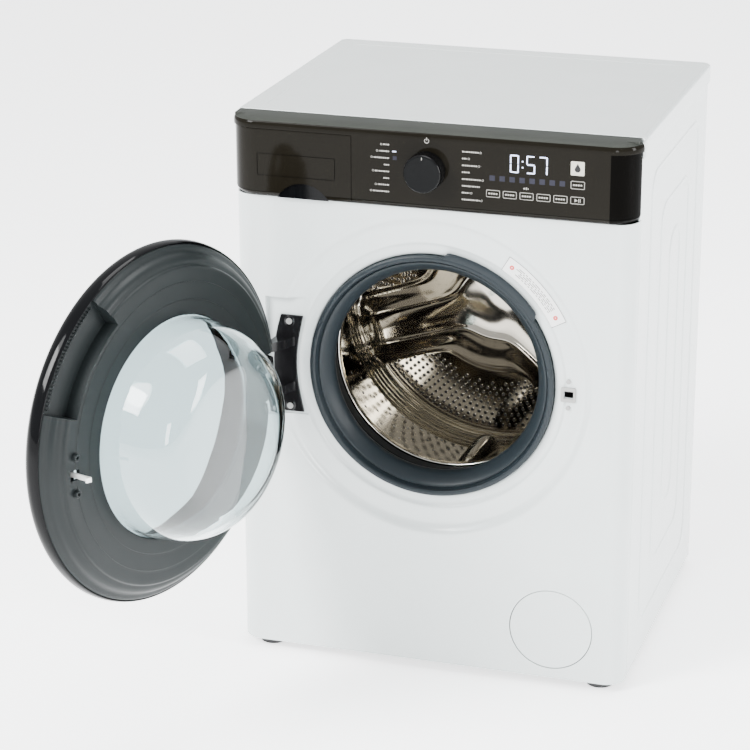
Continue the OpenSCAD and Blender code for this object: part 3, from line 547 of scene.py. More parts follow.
def side_panel(s, name):
    """A side sheet with three soft nested ribs pressed into it."""
    x = HALF_W
    loops = [loop_rect(x, (34, 15, 509, 820), 0.6, 0, 0, s)]
    for y0, z1, y1, z0 in ((100, 775, 452, 62), (176, 706, 388, 130), (246, 646, 330, 196)):
        for i in range(9):
            lift = 1.3 * (0.5 - 0.5 * math.cos(2 * math.pi * i / 8))
            loops.append(loop_rect(x, (y0, z0, y1, z1), 40, -2 - 9 * i / 8, lift, s))
    verts, faces = bridge(loops, fill_last=True)
    forward = [(s * x, FRONT_Y + y, z) for y, z in ((24.6, FASCIA_Z + 1), (34, FASCIA_Z + 1), (34, 820), (24.6, 820))]
    verts, faces = joined([(verts, faces), (forward, [(0, 1, 2, 3)])])
    obj = scratch(name, verts, faces)
    build = bmesh.new()
    build.from_mesh(obj.data)
    if sum(f.normal.x * f.calc_area() for f in build.faces) * s < 0:
        bmesh.ops.reverse_faces(build, faces=build.faces)
    for f in build.faces:
        if f.normal.x * s < 0:
            f.normal_flip()
    build.to_mesh(obj.data)
    build.free()
    thicken(obj, 1.6)
    obj.name = name + "_skin"
    obj.data.materials.append(MATERIALS["enamel"])
    finish_shading(obj, 40)
    settle(obj, "cabinet", [name])


def lid():
    """The worktop: a rounded rim, skirts, and a shallow inset panel."""
    def loop(x, y0, y1, r, z):
        return [(px, py, z) for px, py in round_rect(-x, y0, x, y1, r, 8)]
    y0, y1 = FRONT_Y + 35.5, BACK_Y + 8
    loops = [loop(298.6, y0 + 1.4, y1 - 2.4, 6, 834), loop(298.8, y0 + 1, y1 - 2.2, 6, 811),
             loop(300.6, y0 + 0.4, y1 - 0.4, 8, 810), loop(301, y0, y1, 9, 811.2), loop(301, y0, y1, 9, 833.5)]
    for i in range(1, 7):
        a = math.radians(90 * i / 6)
        inset = 6 * (1 - math.cos(a))
        loops.append(loop(301 - inset, y0 + inset * 0.35, y1 - inset, 9, 833.5 + 6.5 * math.sin(a)))
    for inset, z in ((27.5, 839.98), (28.6, 839.7), (29.6, 839.3), (30.8, 839.2)):
        loops.append(loop(301 - inset - 4, y0 + inset + 2, y1 - inset - 8, 9, z))
    verts, faces = bridge(loops, fill_first=True, fill_last=True)
    skin = piece("top_cover_skin", verts, faces, ["lid", "enamel"], "cabinet", ["top_cover"], "lid_white", sharp=28)
    # Upward faces take the darker, rougher lid white, the rim and skirts the lighter enamel: painted shade on the top
    # and painted light on the rim
    for polygon in skin.data.polygons:
        polygon.material_index = 0 if polygon.normal.z > 0.8 else 1
    # Short returns beside the ends of the fascia
    sides = []
    for s in (-1, 1):
        outline = [(s * 298.7, 812), (s * 300.9, 812), (s * 300.9, 836), (s * 298.7, 836)]
        sides.append(prism_data(outline, 24.8, 37))
    piece("top_cover_returns", *joined(sides), "lid", "cabinet", slot="lid_white", bevel=0.8)


# ---- fascia ----

def plan_point(t, inset, half):
    """A point on the fascia's plan: t runs from the left side's back edge to the right side's."""
    r = FASCIA_R - inset
    arc = math.pi / 2 * FASCIA_R
    flat = 2 * (half - FASCIA_R)
    side = FASCIA_BACK - (FASCIA_Y + FASCIA_R)
    total = 2 * arc + flat
    d = t * total
    if d < arc:
        a = d / FASCIA_R
        return (-(half - FASCIA_R) - r * math.cos(a), FASCIA_Y + FASCIA_R - r * math.sin(a) + 0 * side)
    if d > arc + flat:
        a = (d - arc - flat) / FASCIA_R
        return ((half - FASCIA_R) + r * math.sin(a), FASCIA_Y + FASCIA_R - r * math.cos(a))
    return (-(half - FASCIA_R) + d - arc, FASCIA_Y + inset)


def plan_steps(half, x_from, x_to):
    """Values of t from x_from to x_to along the plan; the corners end where the side panels start."""
    arc = math.pi / 2 * FASCIA_R
    flat = 2 * (half - FASCIA_R)
    total = 2 * arc + flat
    start_turn = math.asin((FASCIA_Y + FASCIA_R - FASCIA_BACK) / FASCIA_R)
    steps = []
    if x_from is None:
        steps += [(start_turn + (math.pi / 2 - start_turn) * i / 14) * FASCIA_R / total for i in range(14)]
        x_from = -(half - FASCIA_R)
    last = half - FASCIA_R if x_to is None else x_to
    steps += [(arc + half - FASCIA_R + x_from + (last - x_from) * i / 12) / total for i in range(13)]
    if x_to is None:
        steps += [(arc + flat + (math.pi / 2 - start_turn) * i / 14 * FASCIA_R) / total for i in range(1, 15)]
    return steps


FACE = [(FASCIA_Z + 0.3, 9.5), (FASCIA_Z + 0.2, 7.4), (FASCIA_Z + 1, 5.8), (FASCIA_Z + 3.8, 2.6), (FASCIA_Z + 6.8, 0.9),
        (FASCIA_Z + 7.8, 0.6), (FASCIA_Z + 8.1, 1.2), (FASCIA_Z + 8.8, 1.2), (FASCIA_Z + 9.1, 0.05), (FASCIA_Z + 11, 0),
        (FASCIA_Z + 16, 0)]
INSIDE = [(FASCIA_Z + 14, 3.0), (FASCIA_Z + 9, 4.0), (FASCIA_Z + 3.4, 8.4), (FASCIA_Z + 2.6, 9.5)]


def sweep_fascia(profile, half, x_from, x_to):
    """A closed [z, inset] section swept along the plan."""
    steps = plan_steps(half, x_from, x_to)
    verts = []
    for t in steps:
        for z, inset in profile:
            x, y = plan_point(t, inset, half)
            verts.append((x, y, z))
    m = len(profile)
    faces = [(i * m + k, i * m + (k + 1) % m, (i + 1) * m + (k + 1) % m, (i + 1) * m + k)
             for i in range(len(steps) - 1) for k in range(m)]
    return verts, faces + [tuple(range(m)), tuple(range((len(steps) - 1) * m, len(steps) * m))]


def fascia():
    half = HALF_W + 2
    right = sweep_fascia(FACE + [(LIP_Z - 2, 0), (LIP_Z + 4, 0), (LIP_Z + 4, 2.4)] + INSIDE, half, SEAM_X, None)
    face = piece("control_fascia_face", *right, ["fascia", "fascia_dark"], "cabinet", ["control_fascia"], "fascia_black", sharp=24)
    # Faces at the right end take the deeper black: a painted dark reflection
    for polygon in face.data.polygons:
        polygon.material_index = 1 if polygon.center.x > PAINTED_REFLECTION_FROM * MM else 0
    cap = [(LIP_Z + 1.4, 1.0), (LIP_Z + 0.8, 0.6), (LIP_Z + 1.0, 0), (LIP_Z + 6, -0.1), (LIP_Z + 9.5, 0.5), (LIP_Z + 11.8, 2.0),
           (LIP_Z + 13.6, 4.2), (LIP_Z + 15, 7.5), (LIP_Z + 16.4, 14), (LIP_Z + 17.2, 24), (LIP_Z + 17.8, 38)]
    cap += [(LIP_Z + 16.4, 38), (LIP_Z + 15, 14), (LIP_Z + 12.4, 6), (LIP_Z + 9, 2.4), (LIP_Z + 3, 1.8)]
    verts, faces = sweep_fascia(cap, HALF_W + 4.5, None, None)
    rim = joined([(verts, faces)])
    band = piece("control_fascia_band", *rim, ["fascia", "fascia_top"], "cabinet", slot="fascia_black", sharp=24)
    # Upward faces take the lighter grey: a painted reflection of the bright light above
    for polygon in band.data.polygons:
        polygon.material_index = 1 if polygon.normal.z > 0.6 else 0
    # Flat top that runs back to the lid, in the same lighter grey: a painted reflection of the bright light above
    top = [(-296, FASCIA_BACK - 12, TOP_Z - 1.4), (296, FASCIA_BACK - 12, TOP_Z - 1.4),
           (296, FRONT_Y + 35, TOP_Z - 0.6), (-296, FRONT_Y + 35, TOP_Z - 0.6)]
    low = [(x, y, z - 3) for x, y, z in top]
    piece("control_fascia_top", top + low, [(0, 1, 2, 3), (4, 5, 6, 7), (0, 1, 5, 4), (1, 2, 6, 5), (2, 3, 7, 6), (3, 0, 4, 7)],
          "fascia_top", "cabinet", slot="fascia_black")
    drawer = sweep_fascia(FACE + [(LIP_Z - 2, 0), (LIP_Z + 0.3, 0.2), (LIP_Z + 0.6, 0.8), (LIP_Z + 0.6, 2.4)] + INSIDE, half,
                          None, SEAM_X - 0.8)
    face = scratch("drawer_face", *drawer)
    cut(face, scratch("scoop", *lathe_data([(0, -30), (44, -30), (44, 30), (0, 30)], centre=(-187, FASCIA_Z - 20), steps=96)))
    outer = prism_data(round_rect(-255.6, 754.4, -137.4, 787.6, 2), -20, -8.8)
    inner = prism_data(round_rect(-254.3, 755.7, -138.7, 786.3, 1.4), -21, -8)
    groove = scratch("groove", *outer)
    cut(groove, scratch("groove_inner", *inner))
    cut(face, groove)
    face.name = "drawer_front_face"
    face.data.materials.append(MATERIALS["fascia"])
    finish_shading(face, 24)
    settle(face, "drawer", ["drawer_front"])
    # Dark floor of the finger scoop, behind the face
    floor_line = [(-187 + 44.2 * math.cos(math.radians(a)), FASCIA_Z - 20 + 44.2 * math.sin(math.radians(a)))
                  for a in range(28, 153, 4)]
    piece("drawer_scoop_floor", *prism_data(floor_line, -7.3, -6.7), "door_black", "drawer", slot="fascia_black")


def prints():
    """Generic marks on the fascia, a tenth of a millimetre proud."""
    face = -10.12
    def flat(outlines, name, material, body="cabinet", stands_for=(), slot="fascia_black"):
        piece(name, *joined([prism_data(o, face, face + 0.5) for o in outlines]), material, body, stands_for, slot, sharp=50)

    def bar(x0, z0, x1, z1):
        return [(x0, z0), (x1, z0), (x1, z1), (x0, z1)]

    def ring(x, z, r, w, name_parts, gap=0.0):
        count = 20
        for i in range(count):
            a = math.radians(90 + gap + (360 - 2 * gap) * i / count)
            b = math.radians(90 + gap + (360 - 2 * gap) * (i + 1) / count)
            name_parts.append([(x + r * math.cos(a), z + r * math.sin(a)), (x + r * math.cos(b), z + r * math.sin(b)),
                               (x + (r - w) * math.cos(b), z + (r - w) * math.sin(b)),
                               (x + (r - w) * math.cos(a), z + (r - w) * math.sin(a))])
    marks = []
    rows = 8
    # Programme rows: short strokes in place of words, six of them with a small ring
    for side, x_edge, z_top, z_low, lengths in (
            (-1, -57, 814, 745.5, (9, 15, 23, 8, 21, 9, 17, 24)), (1, 50, 812.3, 743.2, (24, 7, 22, 11, 28, 26, 11, 26))):
        for i in range(rows):
            z = z_top + (z_low - z_top) * i / (rows - 1)
            x = x_edge
            left = lengths[i]
            step = 0
            while left > 0:
                w = min((2.6, 1.5, 3.4, 2.1)[(i + step) % 4], left)
                x0 = x - w if side < 0 else x
                marks.append(bar(x0, z - 0.95, x0 + w, z + 0.95))
                x += side * (w + 0.7)
                left -= w + 0.7
                step += 1
            if i in (0, 1, 2, 4, 6, 7):
                ring(x + side * 2.0, z, 1.5, 0.45, marks)
    ring(-1.8, 823.5, 3.6, 0.9, marks, gap=28)
    marks.append(bar(-2.25, 824.4, -1.35, 828.4))
    # Keys: outlined rounded boxes with a stroke inside
    for i in range(6):
        x = 85.4 + i * 24.2
        key_boxes = [(x, 749.7, x + 19.8, 760.2)] + ([(x, 771.2, x + 19.8, 782.7)] if i == 5 else [])
        for x0, z0, x1, z1 in key_boxes:
            outer, inner = round_rect(x0, z0, x1, z1, 1.6, 3), round_rect(x0 + 0.7, z0 + 0.7, x1 - 0.7, z1 - 0.7, 1.0, 3)
            n = len(outer)
            marks += [[outer[k], outer[(k + 1) % n], inner[(k + 1) % n], inner[k]] for k in range(n)]
            middle = (z0 + z1) / 2
            if i == 5 and z0 < 760:
                marks.append([(x0 + 6, middle - 2.4), (x0 + 10, middle), (x0 + 6, middle + 2.4)])
                marks += [bar(x0 + 11.2, middle - 2.4, x0 + 12.2, middle + 2.4), bar(x0 + 13.4, middle - 2.4, x0 + 14.4, middle + 2.4)]
            else:
                marks += [bar(x0 + 3.2 + k * 3.5, middle - 1.1, x0 + 5.6 + k * 3.5, middle + 1.1) for k in range(4)]
    marks += [bar(139, 765, 141.4, 767), bar(142.6, 764.4, 144, 767.6), bar(145.2, 765, 146.4, 766.6)]
    flat(marks, "fascia_marks", "print_grey")
    flat([round_rect(206, 790.7, 225.4, 810.7, 1.6, 4)], "fascia_badge", "print_cream")
    drop = [(215.7, 807.6)] + [(215.7 + 4.2 * math.sin(a), 799.4 - 4.2 * math.cos(a))
                               for a in (math.radians(120 - 15 * i) for i in range(17))]
    piece("fascia_badge_drop", *prism_data(drop, face - 0.1, face + 0.4), "gloss_black", "cabinet", slot="fascia_black")
    dim = [round_rect(93.8 + i * 14.37 - 4, 773.6, 93.8 + i * 14.37 + 4, 781.4, 0.6, 3) for i in range(8)]
    dim.append(round_rect(-51.6, 792.4, -45.6, 798, 0.6, 3))
    flat(dim, "display_symbols", "print_dim")
    # 0:57 in seven segments, and the lit lamp beside the chosen programme
    lit = [round_rect(-52.2, 803.7, -46.4, 805.3, 0.5, 3)]
    cells = {"0": "abcdef", "5": "acdfg", "7": "abc"}
    for x, figure in ((119.2, "0"), (142.6, "5"), (160.4, "7")):
        w, z0, z1, t = 12.6, 787.6, 813.4, 1.9
        zm = (z0 + z1) / 2
        bars = {"a": bar(x + 1.2, z1 - t, x + w - 1.2, z1), "d": bar(x + 1.2, z0, x + w - 1.2, z0 + t),
                "g": bar(x + 1.2, zm - t / 2, x + w - 1.2, zm + t / 2), "f": bar(x, zm + 0.7, x + t, z1 - 0.7),
                "e": bar(x, z0 + 0.7, x + t, zm - 0.7), "b": bar(x + w - t, zm + 0.7, x + w, z1 - 0.7),
                "c": bar(x + w - t, z0 + 0.7, x + w, zm - 0.7)}
        lit += [bars[k] for k in cells[figure]]
    lit += [bar(136.3, 795, 138.3, 797), bar(136.3, 803.6, 138.3, 805.6)]
    flat(lit, "display_figures", "lamp", stands_for=["display_window"], slot="display_smoke")


def knob():
    x, z, r = KNOB
    def fine(k, radius, d, turn):
        return (radius - (0.35 if 8 <= k <= 10 and math.sin(turn * 60) > 0 else 0), d)
    profile = [(0, -34.3), (r - 5.2, -34.3), (r - 4.6, -34.5), (r - 2.4, -34.5), (r - 1.2, -34.2), (r - 0.4, -33.5),
               (r + 0.2, -32.4), (r + 0.6, -30.5), (r + 0.8, -29), (r + 0.8, -24), (r + 0.8, -16), (r + 1, -14), (r + 1, -10.8),
               (0, -10.8)]
    verts, faces = lathe_data(profile, centre=(x, z), steps=240, shape=fine)
    obj = piece("program_knob_body", verts, faces, ["knob_side", "knob_face"], "knob", ["program_knob"], "black_plastic", sharp=25)
    for polygon in obj.data.polygons:
        if polygon.normal.y < -0.8:
            polygon.material_index = 1
    notch = prism_data([(x - 0.5, z + r - 6), (x + 0.5, z + r - 6), (x + 0.5, z + r - 2.6), (x - 0.5, z + r - 2.6)], -34.7, -34)
    piece("program_knob_mark", *notch, "print_grey", "knob", slot="black_plastic")


def hatch():
    x, z, r = HATCH
    profile = [(0, 0), (r - 1.2, 0), (r - 0.5, 0.25), (r - 0.1, 0.9), (r, 2.0), (r, 3), (0, 3)]
    piece("filter_hatch_lid", *lathe_data(profile, centre=(x, z), steps=128), "enamel", "hatch", ["filter_hatch"], "white_enamel",
          sharp=28)


# ---- gasket and drum ----

def gasket():
    """A rubber bellows: outer bead, groove, sealing lip, and the fold that runs back to the tub."""
    outer = [(184.2, 6.6), (183.6, 5.2), (181.8, 4.2), (179, 4.0), (176.8, 4.8), (175.6, 6.6), (174.8, 9.5), (173.9, 12.6),
             (173.2, 13.6), (172.4, 12.8), (170.4, 13.2), (167, 16.2), (163.4, 20.6), (160, 25.4), (157.2, 30), (155.7, 34),
             (155.2, 38), (155.8, 42), (158, 45.4), (162.4, 49.6), (168.5, 55.6), (174.6, 60.4), (177.4, 63.6), (177.4, 68),
             (176.9, 74), (177.5, 80), (177.5, 87.4)]
    inner = [(180.6, 87.4), (180.6, 74), (178.8, 70), (181, 66), (180.8, 60), (176, 55.4), (166, 47.4), (159, 40),
             (160, 36), (166, 31), (176, 27.4), (184.2, 27.2)]
    profile = curve_profile(outer, 2) + inner
    obj = piece("door_gasket_bellows", *lathe_data(profile, steps=192), "gasket", "cabinet", slot="gasket_rubber", sharp=60)
    obj.parent = None
    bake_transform(obj)
    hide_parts("door_gasket")
    # Wide tab over the rim, upper right, with a raised edge and a soft end
    start, sweep, steps = 33, 52, 44
    def tab(k, r, d, turn):
        t = (math.degrees(turn) - start) / sweep
        end = ease(min(t, 1 - t) / 0.055)
        return (183 + (r - 183) * end, d)
    section = [(182, 6.2), (182, 4.6), (184.5, 3.6), (189.4, 3.4), (191.8, 4.2), (192.8, 6.2), (192.4, 8.6), (190.6, 10.2), (186, 10.8), (182, 10)]
    piece("door_gasket_tab", *lathe_data(section, start, sweep, steps, shape=tab), "gasket", "cabinet", slot="gasket_rubber", sharp=50)
    # Small moulded blocks on the bead
    blocks = []
    for a, w in ((100, 4.6), (158, 3), (196, 2.4), (296, 3), (8, 3.4)):
        blocks.append(lathe_data([(176.4, 4.1), (176.4, 3.4), (181.6, 3.2), (181.6, 4.4)], a - w / 2, w, 6))
    piece("door_gasket_blocks", *joined(blocks), "gasket", "cabinet", slot="gasket_rubber", bevel=0.4)


def drum_front():
    profile = curve_profile([(172.2, 104), (171.8, 99), (170.6, 96.4), (169.2, 96.2), (168.2, 97.6), (168, 101),
                             (168.8, 105.2), (184, 106.6), (199, 109), (214, 111.6), (224, 114.4), (231, 118.2), (DRUM_R, 122)], 3)
    profile += [(DRUM_R + 1.6, 122), (DRUM_R + 1.6, 117.8), (226, 111.4), (200, 106), (173, 102.8)]
    piece("drum_front_ring", *lathe_data(profile), "steel_bright", "drum", ["drum_front"], "stainless", sharp=50)


def drum_shell():
    """The drum's cylinder with pressed rings near its back wall."""
    line = [(DRUM_R, 121)]
    for i in range(133):
        d = 122 + i * 2
        r = DRUM_R
        if d > 326:
            r -= 2.8 * (0.5 - 0.5 * math.cos((d - 326) * 2 * math.pi / 13))
        if d > 372:
            r -= 3.0 * ease((d - 372) / 10)
        line.append((r, d))
    profile = line + [(DRUM_R + 1.4, 387), (DRUM_R + 1.4, 121)]
    piece("drum_shell_skin", *lathe_data(profile, steps=192), "steel", "drum", ["drum_shell"], "stainless", sharp=40)
    # Perforations: a rolled rim round a dark disc of painted shade, in rows between the lifters
    rims, holes = [], []
    for row in range(9):
        d = 136 + row * 23
        for a in range(0, 360, 9):
            turn = a + (4.5 if row % 2 else 0)
            if min(abs((turn - lift + 180) % 360 - 180) for lift in (30, 150, 270)) < 10:
                continue
            add_hole(rims, holes, shell_frame(turn, d), 2.2, 10)
    piece("drum_shell_rims", *joined(rims), "steel", "drum", slot="stainless", sharp=60)
    piece("drum_shell_hole_shade", *joined(holes), "hole", "drum", slot="stainless", sharp=60)


def shell_frame(turn, d):
    a = math.radians(turn)
    out = Vector((math.cos(a), 0, math.sin(a)))
    along = Vector((0, 1, 0))
    centre = Vector((0, FRONT_Y + d, AXIS_Z)) + out * DRUM_R
    return centre, -out, along, out.cross(along)


def add_hole(rims, holes, place, r, sides=12):
    """A low rolled rim and a dark disc of painted shade in the hole, on a surface whose normal is place[1]."""
    centre, normal, u, v = place
    turns = [2 * math.pi * i / sides for i in range(sides)]
    def loop(radius, lift):
        return [tuple(centre + (u * math.cos(t) + v * math.sin(t)) * radius + normal * lift) for t in turns]
    rims.append(bridge([loop(r + 1.2, -0.3), loop(r + 1.0, 0.05), loop(r + 0.4, 0.28), loop(r, 0.1), loop(r, -0.3)]))
    holes.append(bridge([loop(r + 0.1, 0.12), loop(r + 0.1, -0.4)], fill_first=True))


ARMS = (-162, -42, 78)


def sector(turn, r):
    """0 at the crest of the arms, 1 where the perforated plate of a sector starts."""
    a = math.radians(turn)
    offset = min(abs((turn - arm + 180) % 360 - 180) for arm in ARMS)
    from_arm = (r * math.sin(math.radians(offset)) - 25) / 33
    from_hub = (r - 57) / 60
    from_rim = (231 - r) / 8 + 0.6
    k = 5
    return -math.log(math.exp(-k * from_arm) + math.exp(-k * from_hub) + math.exp(-k * from_rim)) / k


def wall_depth(turn, r):
    """Depth of the rear wall: arms and hub forward, a long slope, a crease, then the flat plate."""
    u = sector(turn, r)
    bead = 1.3 * math.exp(-((u - 0.02) / 0.10) ** 2)
    hub = 2.2 * ease(1 - r / 46)
    near_rim = 6.5 * ease((r - 196) / 30) * (1 - ease(u * 1.6))
    valley = 3.6 * (1 - (1 - min(max(-u / 0.76, 0.0), 1.0)) ** 2)
    return DRUM_BACK - 18.6 + 13.2 * ease(u / 0.95) + 4.6 * ease((u - 0.92) / 0.13) - bead - hub + near_rim + valley


def drum_back():
    """The pressed rear wall: three broad arms between recessed, perforated sectors."""
    radii = [1.5 + i * (DRUM_R - 1.5) / 150 for i in range(151)]
    steps = 480
    front, back = [], []
    for i in range(steps):
        turn = 360 * i / steps
        a = math.radians(turn)
        for r in radii:
            front.append((r * math.cos(a), FRONT_Y + wall_depth(turn, r), AXIS_Z + r * math.sin(a)))
    n = len(radii)
    faces = [(i * n + k, i * n + k + 1, ((i + 1) % steps) * n + k + 1, ((i + 1) % steps) * n + k)
             for i in range(steps) for k in range(n - 1)]
    faces.append(tuple(i * n for i in range(steps)))
    base = len(front)
    for i in range(steps):
        a = math.radians(360 * i / steps)
        back.append((DRUM_R * math.cos(a), FRONT_Y + DRUM_BACK + 1.8, AXIS_Z + DRUM_R * math.sin(a)))
    faces += [(i * n + n - 1, base + i, base + (i + 1) % steps, ((i + 1) % steps) * n + n - 1) for i in range(steps)]
    faces.append(tuple(base + i for i in range(steps)))
    piece("drum_back_pressing", front + back, faces, "steel", "drum", ["drum_back"], "stainless", sharp=70)
    # Perforations in the sectors: rolled rims round dark discs of painted shade
    rims, holes = [], []
    for row in range(9):
        r = 141.5 + row * 8.7
        pitch = math.degrees(11.0 / r)
        for arm in ARMS:
            for k in range(-22, 23):
                turn = arm + 60 + (k + (0.5 if row % 2 else 0)) * pitch
                if sector(turn, r) < 1.12 or (row == 0 and k % 2):
                    continue
                a = math.radians(turn)
                out = Vector((math.cos(a), 0, math.sin(a)))
                centre = Vector((0, FRONT_Y + wall_depth(turn, r), AXIS_Z)) + out * r
                add_hole(rims, holes, (centre, Vector((0, -1, 0)), out, out.cross(Vector((0, 1, 0)))), 2.3, 12)
    piece("drum_back_rims", *joined(rims), "steel", "drum", slot="stainless", sharp=60)
    piece("drum_back_hole_shade", *joined(holes), "hole", "drum", slot="stainless", sharp=60)


def lifters():
    """Three rounded paddles with pressed flanks."""
    parts = []
    for turn in (30, 150, 270):
        a = math.radians(turn)
        out, side = Vector((math.cos(a), 0, math.sin(a))), Vector((-math.sin(a), 0, math.cos(a)))
        loops = []
        for i in range(25):
            d = 142 + 208 * i / 24
            end = math.sqrt(max(0.0, 1 - abs((i - 12) / 12.0) ** 4))
            height, width = 2 + 31 * end, 12 + 12 * end
            section = []
            for k in range(17):
                u = -1 + 2 * k / 16
                lift = height * (1 - abs(u) ** 2.2) ** 0.8 if abs(u) < 1 else 0
                section.append(tuple(Vector((0, FRONT_Y + d, AXIS_Z)) + out * (DRUM_R - 0.4 - lift) + side * (u * width)))
            loops.append(section)
        parts.append(bridge(loops, True, True))
    piece("drum_lifter_paddles", *joined(parts), "steel", "drum", ["drum_lifters"], "stainless", sharp=50)


# ---- door ----

def pocket_shape(k, r, d, turn):
    return r, d


def door():
    outer = smooth_profile([(254, -28.6), (256, -33), (257, -42), (254, -50), (246, -57), (225, -63), (180, -67),
                            (180, -63.5), (224, -59.5), (244, -53.5), (250.5, -47.5), (253.4, -41), (252.8, -34), (252.3, -28.6)], 2)
    lugs = []
    for z in (AXIS_Z - 35, AXIS_Z + 35):
        lugs += [((-266, FRONT_Y - 64, z - 10), (-234, FRONT_Y + 8, z + 10)),
                 ((-250, FRONT_Y - 42, z - 10), (-205, FRONT_Y + 8, z + 10))]
    ring = scratch("outer_ring", *lathe_data(outer, steps=192))
    cut(ring, *[scratch_box(*b) for b in lugs])
    finish_door_part(ring, "door_outer_trim", "door_black", ["door_outer_ring"])
    # Inner moulding: a rounded rim, two steps, a broad flange and the collar round the glass
    face = curve_profile([(252, -31), (251.8, -28.8), (250.2, -27), (247.6, -25.6), (244.4, -24.6), (242, -23.2), (240.4, -20.6),
                          (239, -17.4), (236.6, -14.6), (233.4, -12.6), (230.6, -11.7), (227.6, -11.0), (226.2, -9.6), (225.0, -7.6),
                          (222.4, -6.6), (214, -6.2), (206, -6.1), (204.4, -5.2), (203, -4.9), (190, -4.6), (181, -4.5),
                          (179.8, -3.8), (178.6, -3.5), (170, -3.4), (161, -3.4), (158.4, -4.2), (157.6, -6.6), (157.6, -9)], 2)
    behind = [(158, -9.6), (190, -9.6), (205, -11), (226, -13.6), (231, -16.6), (234, -24.5), (245, -29), (249, -31.6)]
    body = scratch("inner_ring", *lathe_data(face + behind, steps=240))
    block = lathe_data([(205.5, -33), (205.5, -7.4), (222, -7.4), (227, -12), (235, -16), (242, -25), (249.6, -28.4), (249.6, -37)],
                       17.8, 42.4, 48)
    cut(body, scratch("block", *block), operation="UNION")
    pocket = lathe_data([(209.5, -27.6), (209.5, 6), (262, 6), (262, -34.6), (244, -31.8)], 19.6, 38.8, 48)
    cut(body, scratch("pocket", *pocket))
    cut(body, *[scratch_box(*b) for b in lugs])
    cut(body, scratch_box((LOCK[0] - 7, FRONT_Y - 40, LOCK[1] - 7.4), (LOCK[0] + 9, FRONT_Y + 10, LOCK[1] + 7.4)),
        scratch_box((-266, FRONT_Y - 64, AXIS_Z - 26), (-233, FRONT_Y, AXIS_Z + 26)))
    finish_door_part(body, "door_inner_moulding", "door_grey", ["door_inner_ring"])
    # Fine ribs on the outer wall of the finger pocket
    ribs = [lathe_data([(243.5, -31.6), (243.5, -29.8), (248.0, -27.4), (248.6, -29)], 21 + i * 1.2, 0.55, 1) for i in range(30)]
    piece("door_pocket_ribs", *joined(ribs), "door_grey", "door", slot="door_grey", door=True)
    # Screw bosses above and below the hook
    bosses = []
    for s in (-1, 1):
        bosses.append(lathe_data([(2.2, -9), (2.2, -0.4), (2.6, 0), (4.6, 0), (5.2, -0.6), (5.6, -7)], centre=(LOCK[0], LOCK[1] + s * 26), steps=40))
    piece("door_bosses", *joined(bosses), "door_grey", "door", slot="door_grey", door=True, sharp=40)
    # Dark discs in the screw bosses and a dark plate behind the hook's slot: painted shade in the recesses
    plugs = [lathe_data([(0, -4), (2.3, -4), (2.3, -7), (0, -7)], centre=(LOCK[0], LOCK[1] + s * 26), steps=24) for s in (-1, 1)]
    plugs.append(prism_data(round_rect(LOCK[0] - 15, LOCK[1] - 14, LOCK[0] + 15, LOCK[1] + 14, 1), -23, -22))
    piece("door_recess_shade", *joined(plugs), "hole", "door", slot="door_grey", door=True)


def finish_door_part(obj, name, material, nodes):
    obj.data.transform(DOOR_TURN)
    obj.name = name
    obj.data.materials.clear()
    obj.data.materials.append(MATERIALS[material])
    finish_shading(obj, 30)
    settle(obj, "door", nodes)


def door_glass():
    """The pressed bowl, with a thick wall and a nearly flat end."""
    outside = curve_profile([(171.6, -9.2), (160, -8.9), (157.2, -6.8), (156.4, 0), (155.4, 12), (153.6, 28), (150.8, 45), (146.8, 58),
                             (140.6, 71), (131.6, 84), (121.6, 92.6), (110, 98), (98, 100.4), (70, 101.8), (35, 102.8), (0.4, 103)], 4)
    inside = curve_profile([(0.4, 97.6), (35, 97.4), (70, 96.6), (96, 95.2), (107, 92.8), (117.6, 87.6), (126.8, 79.6), (135.4, 67.4),
                            (141.4, 55), (145.4, 43), (148.4, 27), (150.4, 12), (151.4, 0), (152.4, -8), (156, -12.4), (171.6, -12.5)], 4)
    verts, faces = lathe_data(outside + inside, steps=192)
    piece("door_glass_bowl", verts, faces, "glass", "door", ["door_glass"], "clear_glass", sharp=60, door=True)
    window = [(0.4, -68.4), (60, -68.2), (100, -67.9), (140, -67.4), (179.4, -66.8), (179.4, -63.2), (140, -63.8), (100, -64.4),
              (60, -64.8), (0.4, -65)]
    piece("door_outer_pane", *lathe_data(window, steps=160), "window", "door", ["door_outer_window"], "clear_plastic", sharp=60,
          door=True)


def hook():
    """The sprung latch hook in its slot."""
    x, z = LOCK
    side = [(-16, -1.6), (2, -1.6), (15, -1.6), (19, -2.2), (22, -1.4), (20, 4.8), (17.5, 6.5), (16.4, 3), (14, 1.6), (2, 1.6), (-16, 1.6)]
    verts = [(x + w, FRONT_Y + d, z + h) for h in (-3.5, 3.5) for d, w in side]
    n = len(side)
    faces = [tuple(range(n)), tuple(range(n, 2 * n))] + [(i, (i + 1) % n, n + (i + 1) % n, n + i) for i in range(n)]
    piece("latch_hook_blade", verts, faces, "hook_steel", "latch", ["latch_hook"], "chromed_steel", door=True, bevel=0.6)


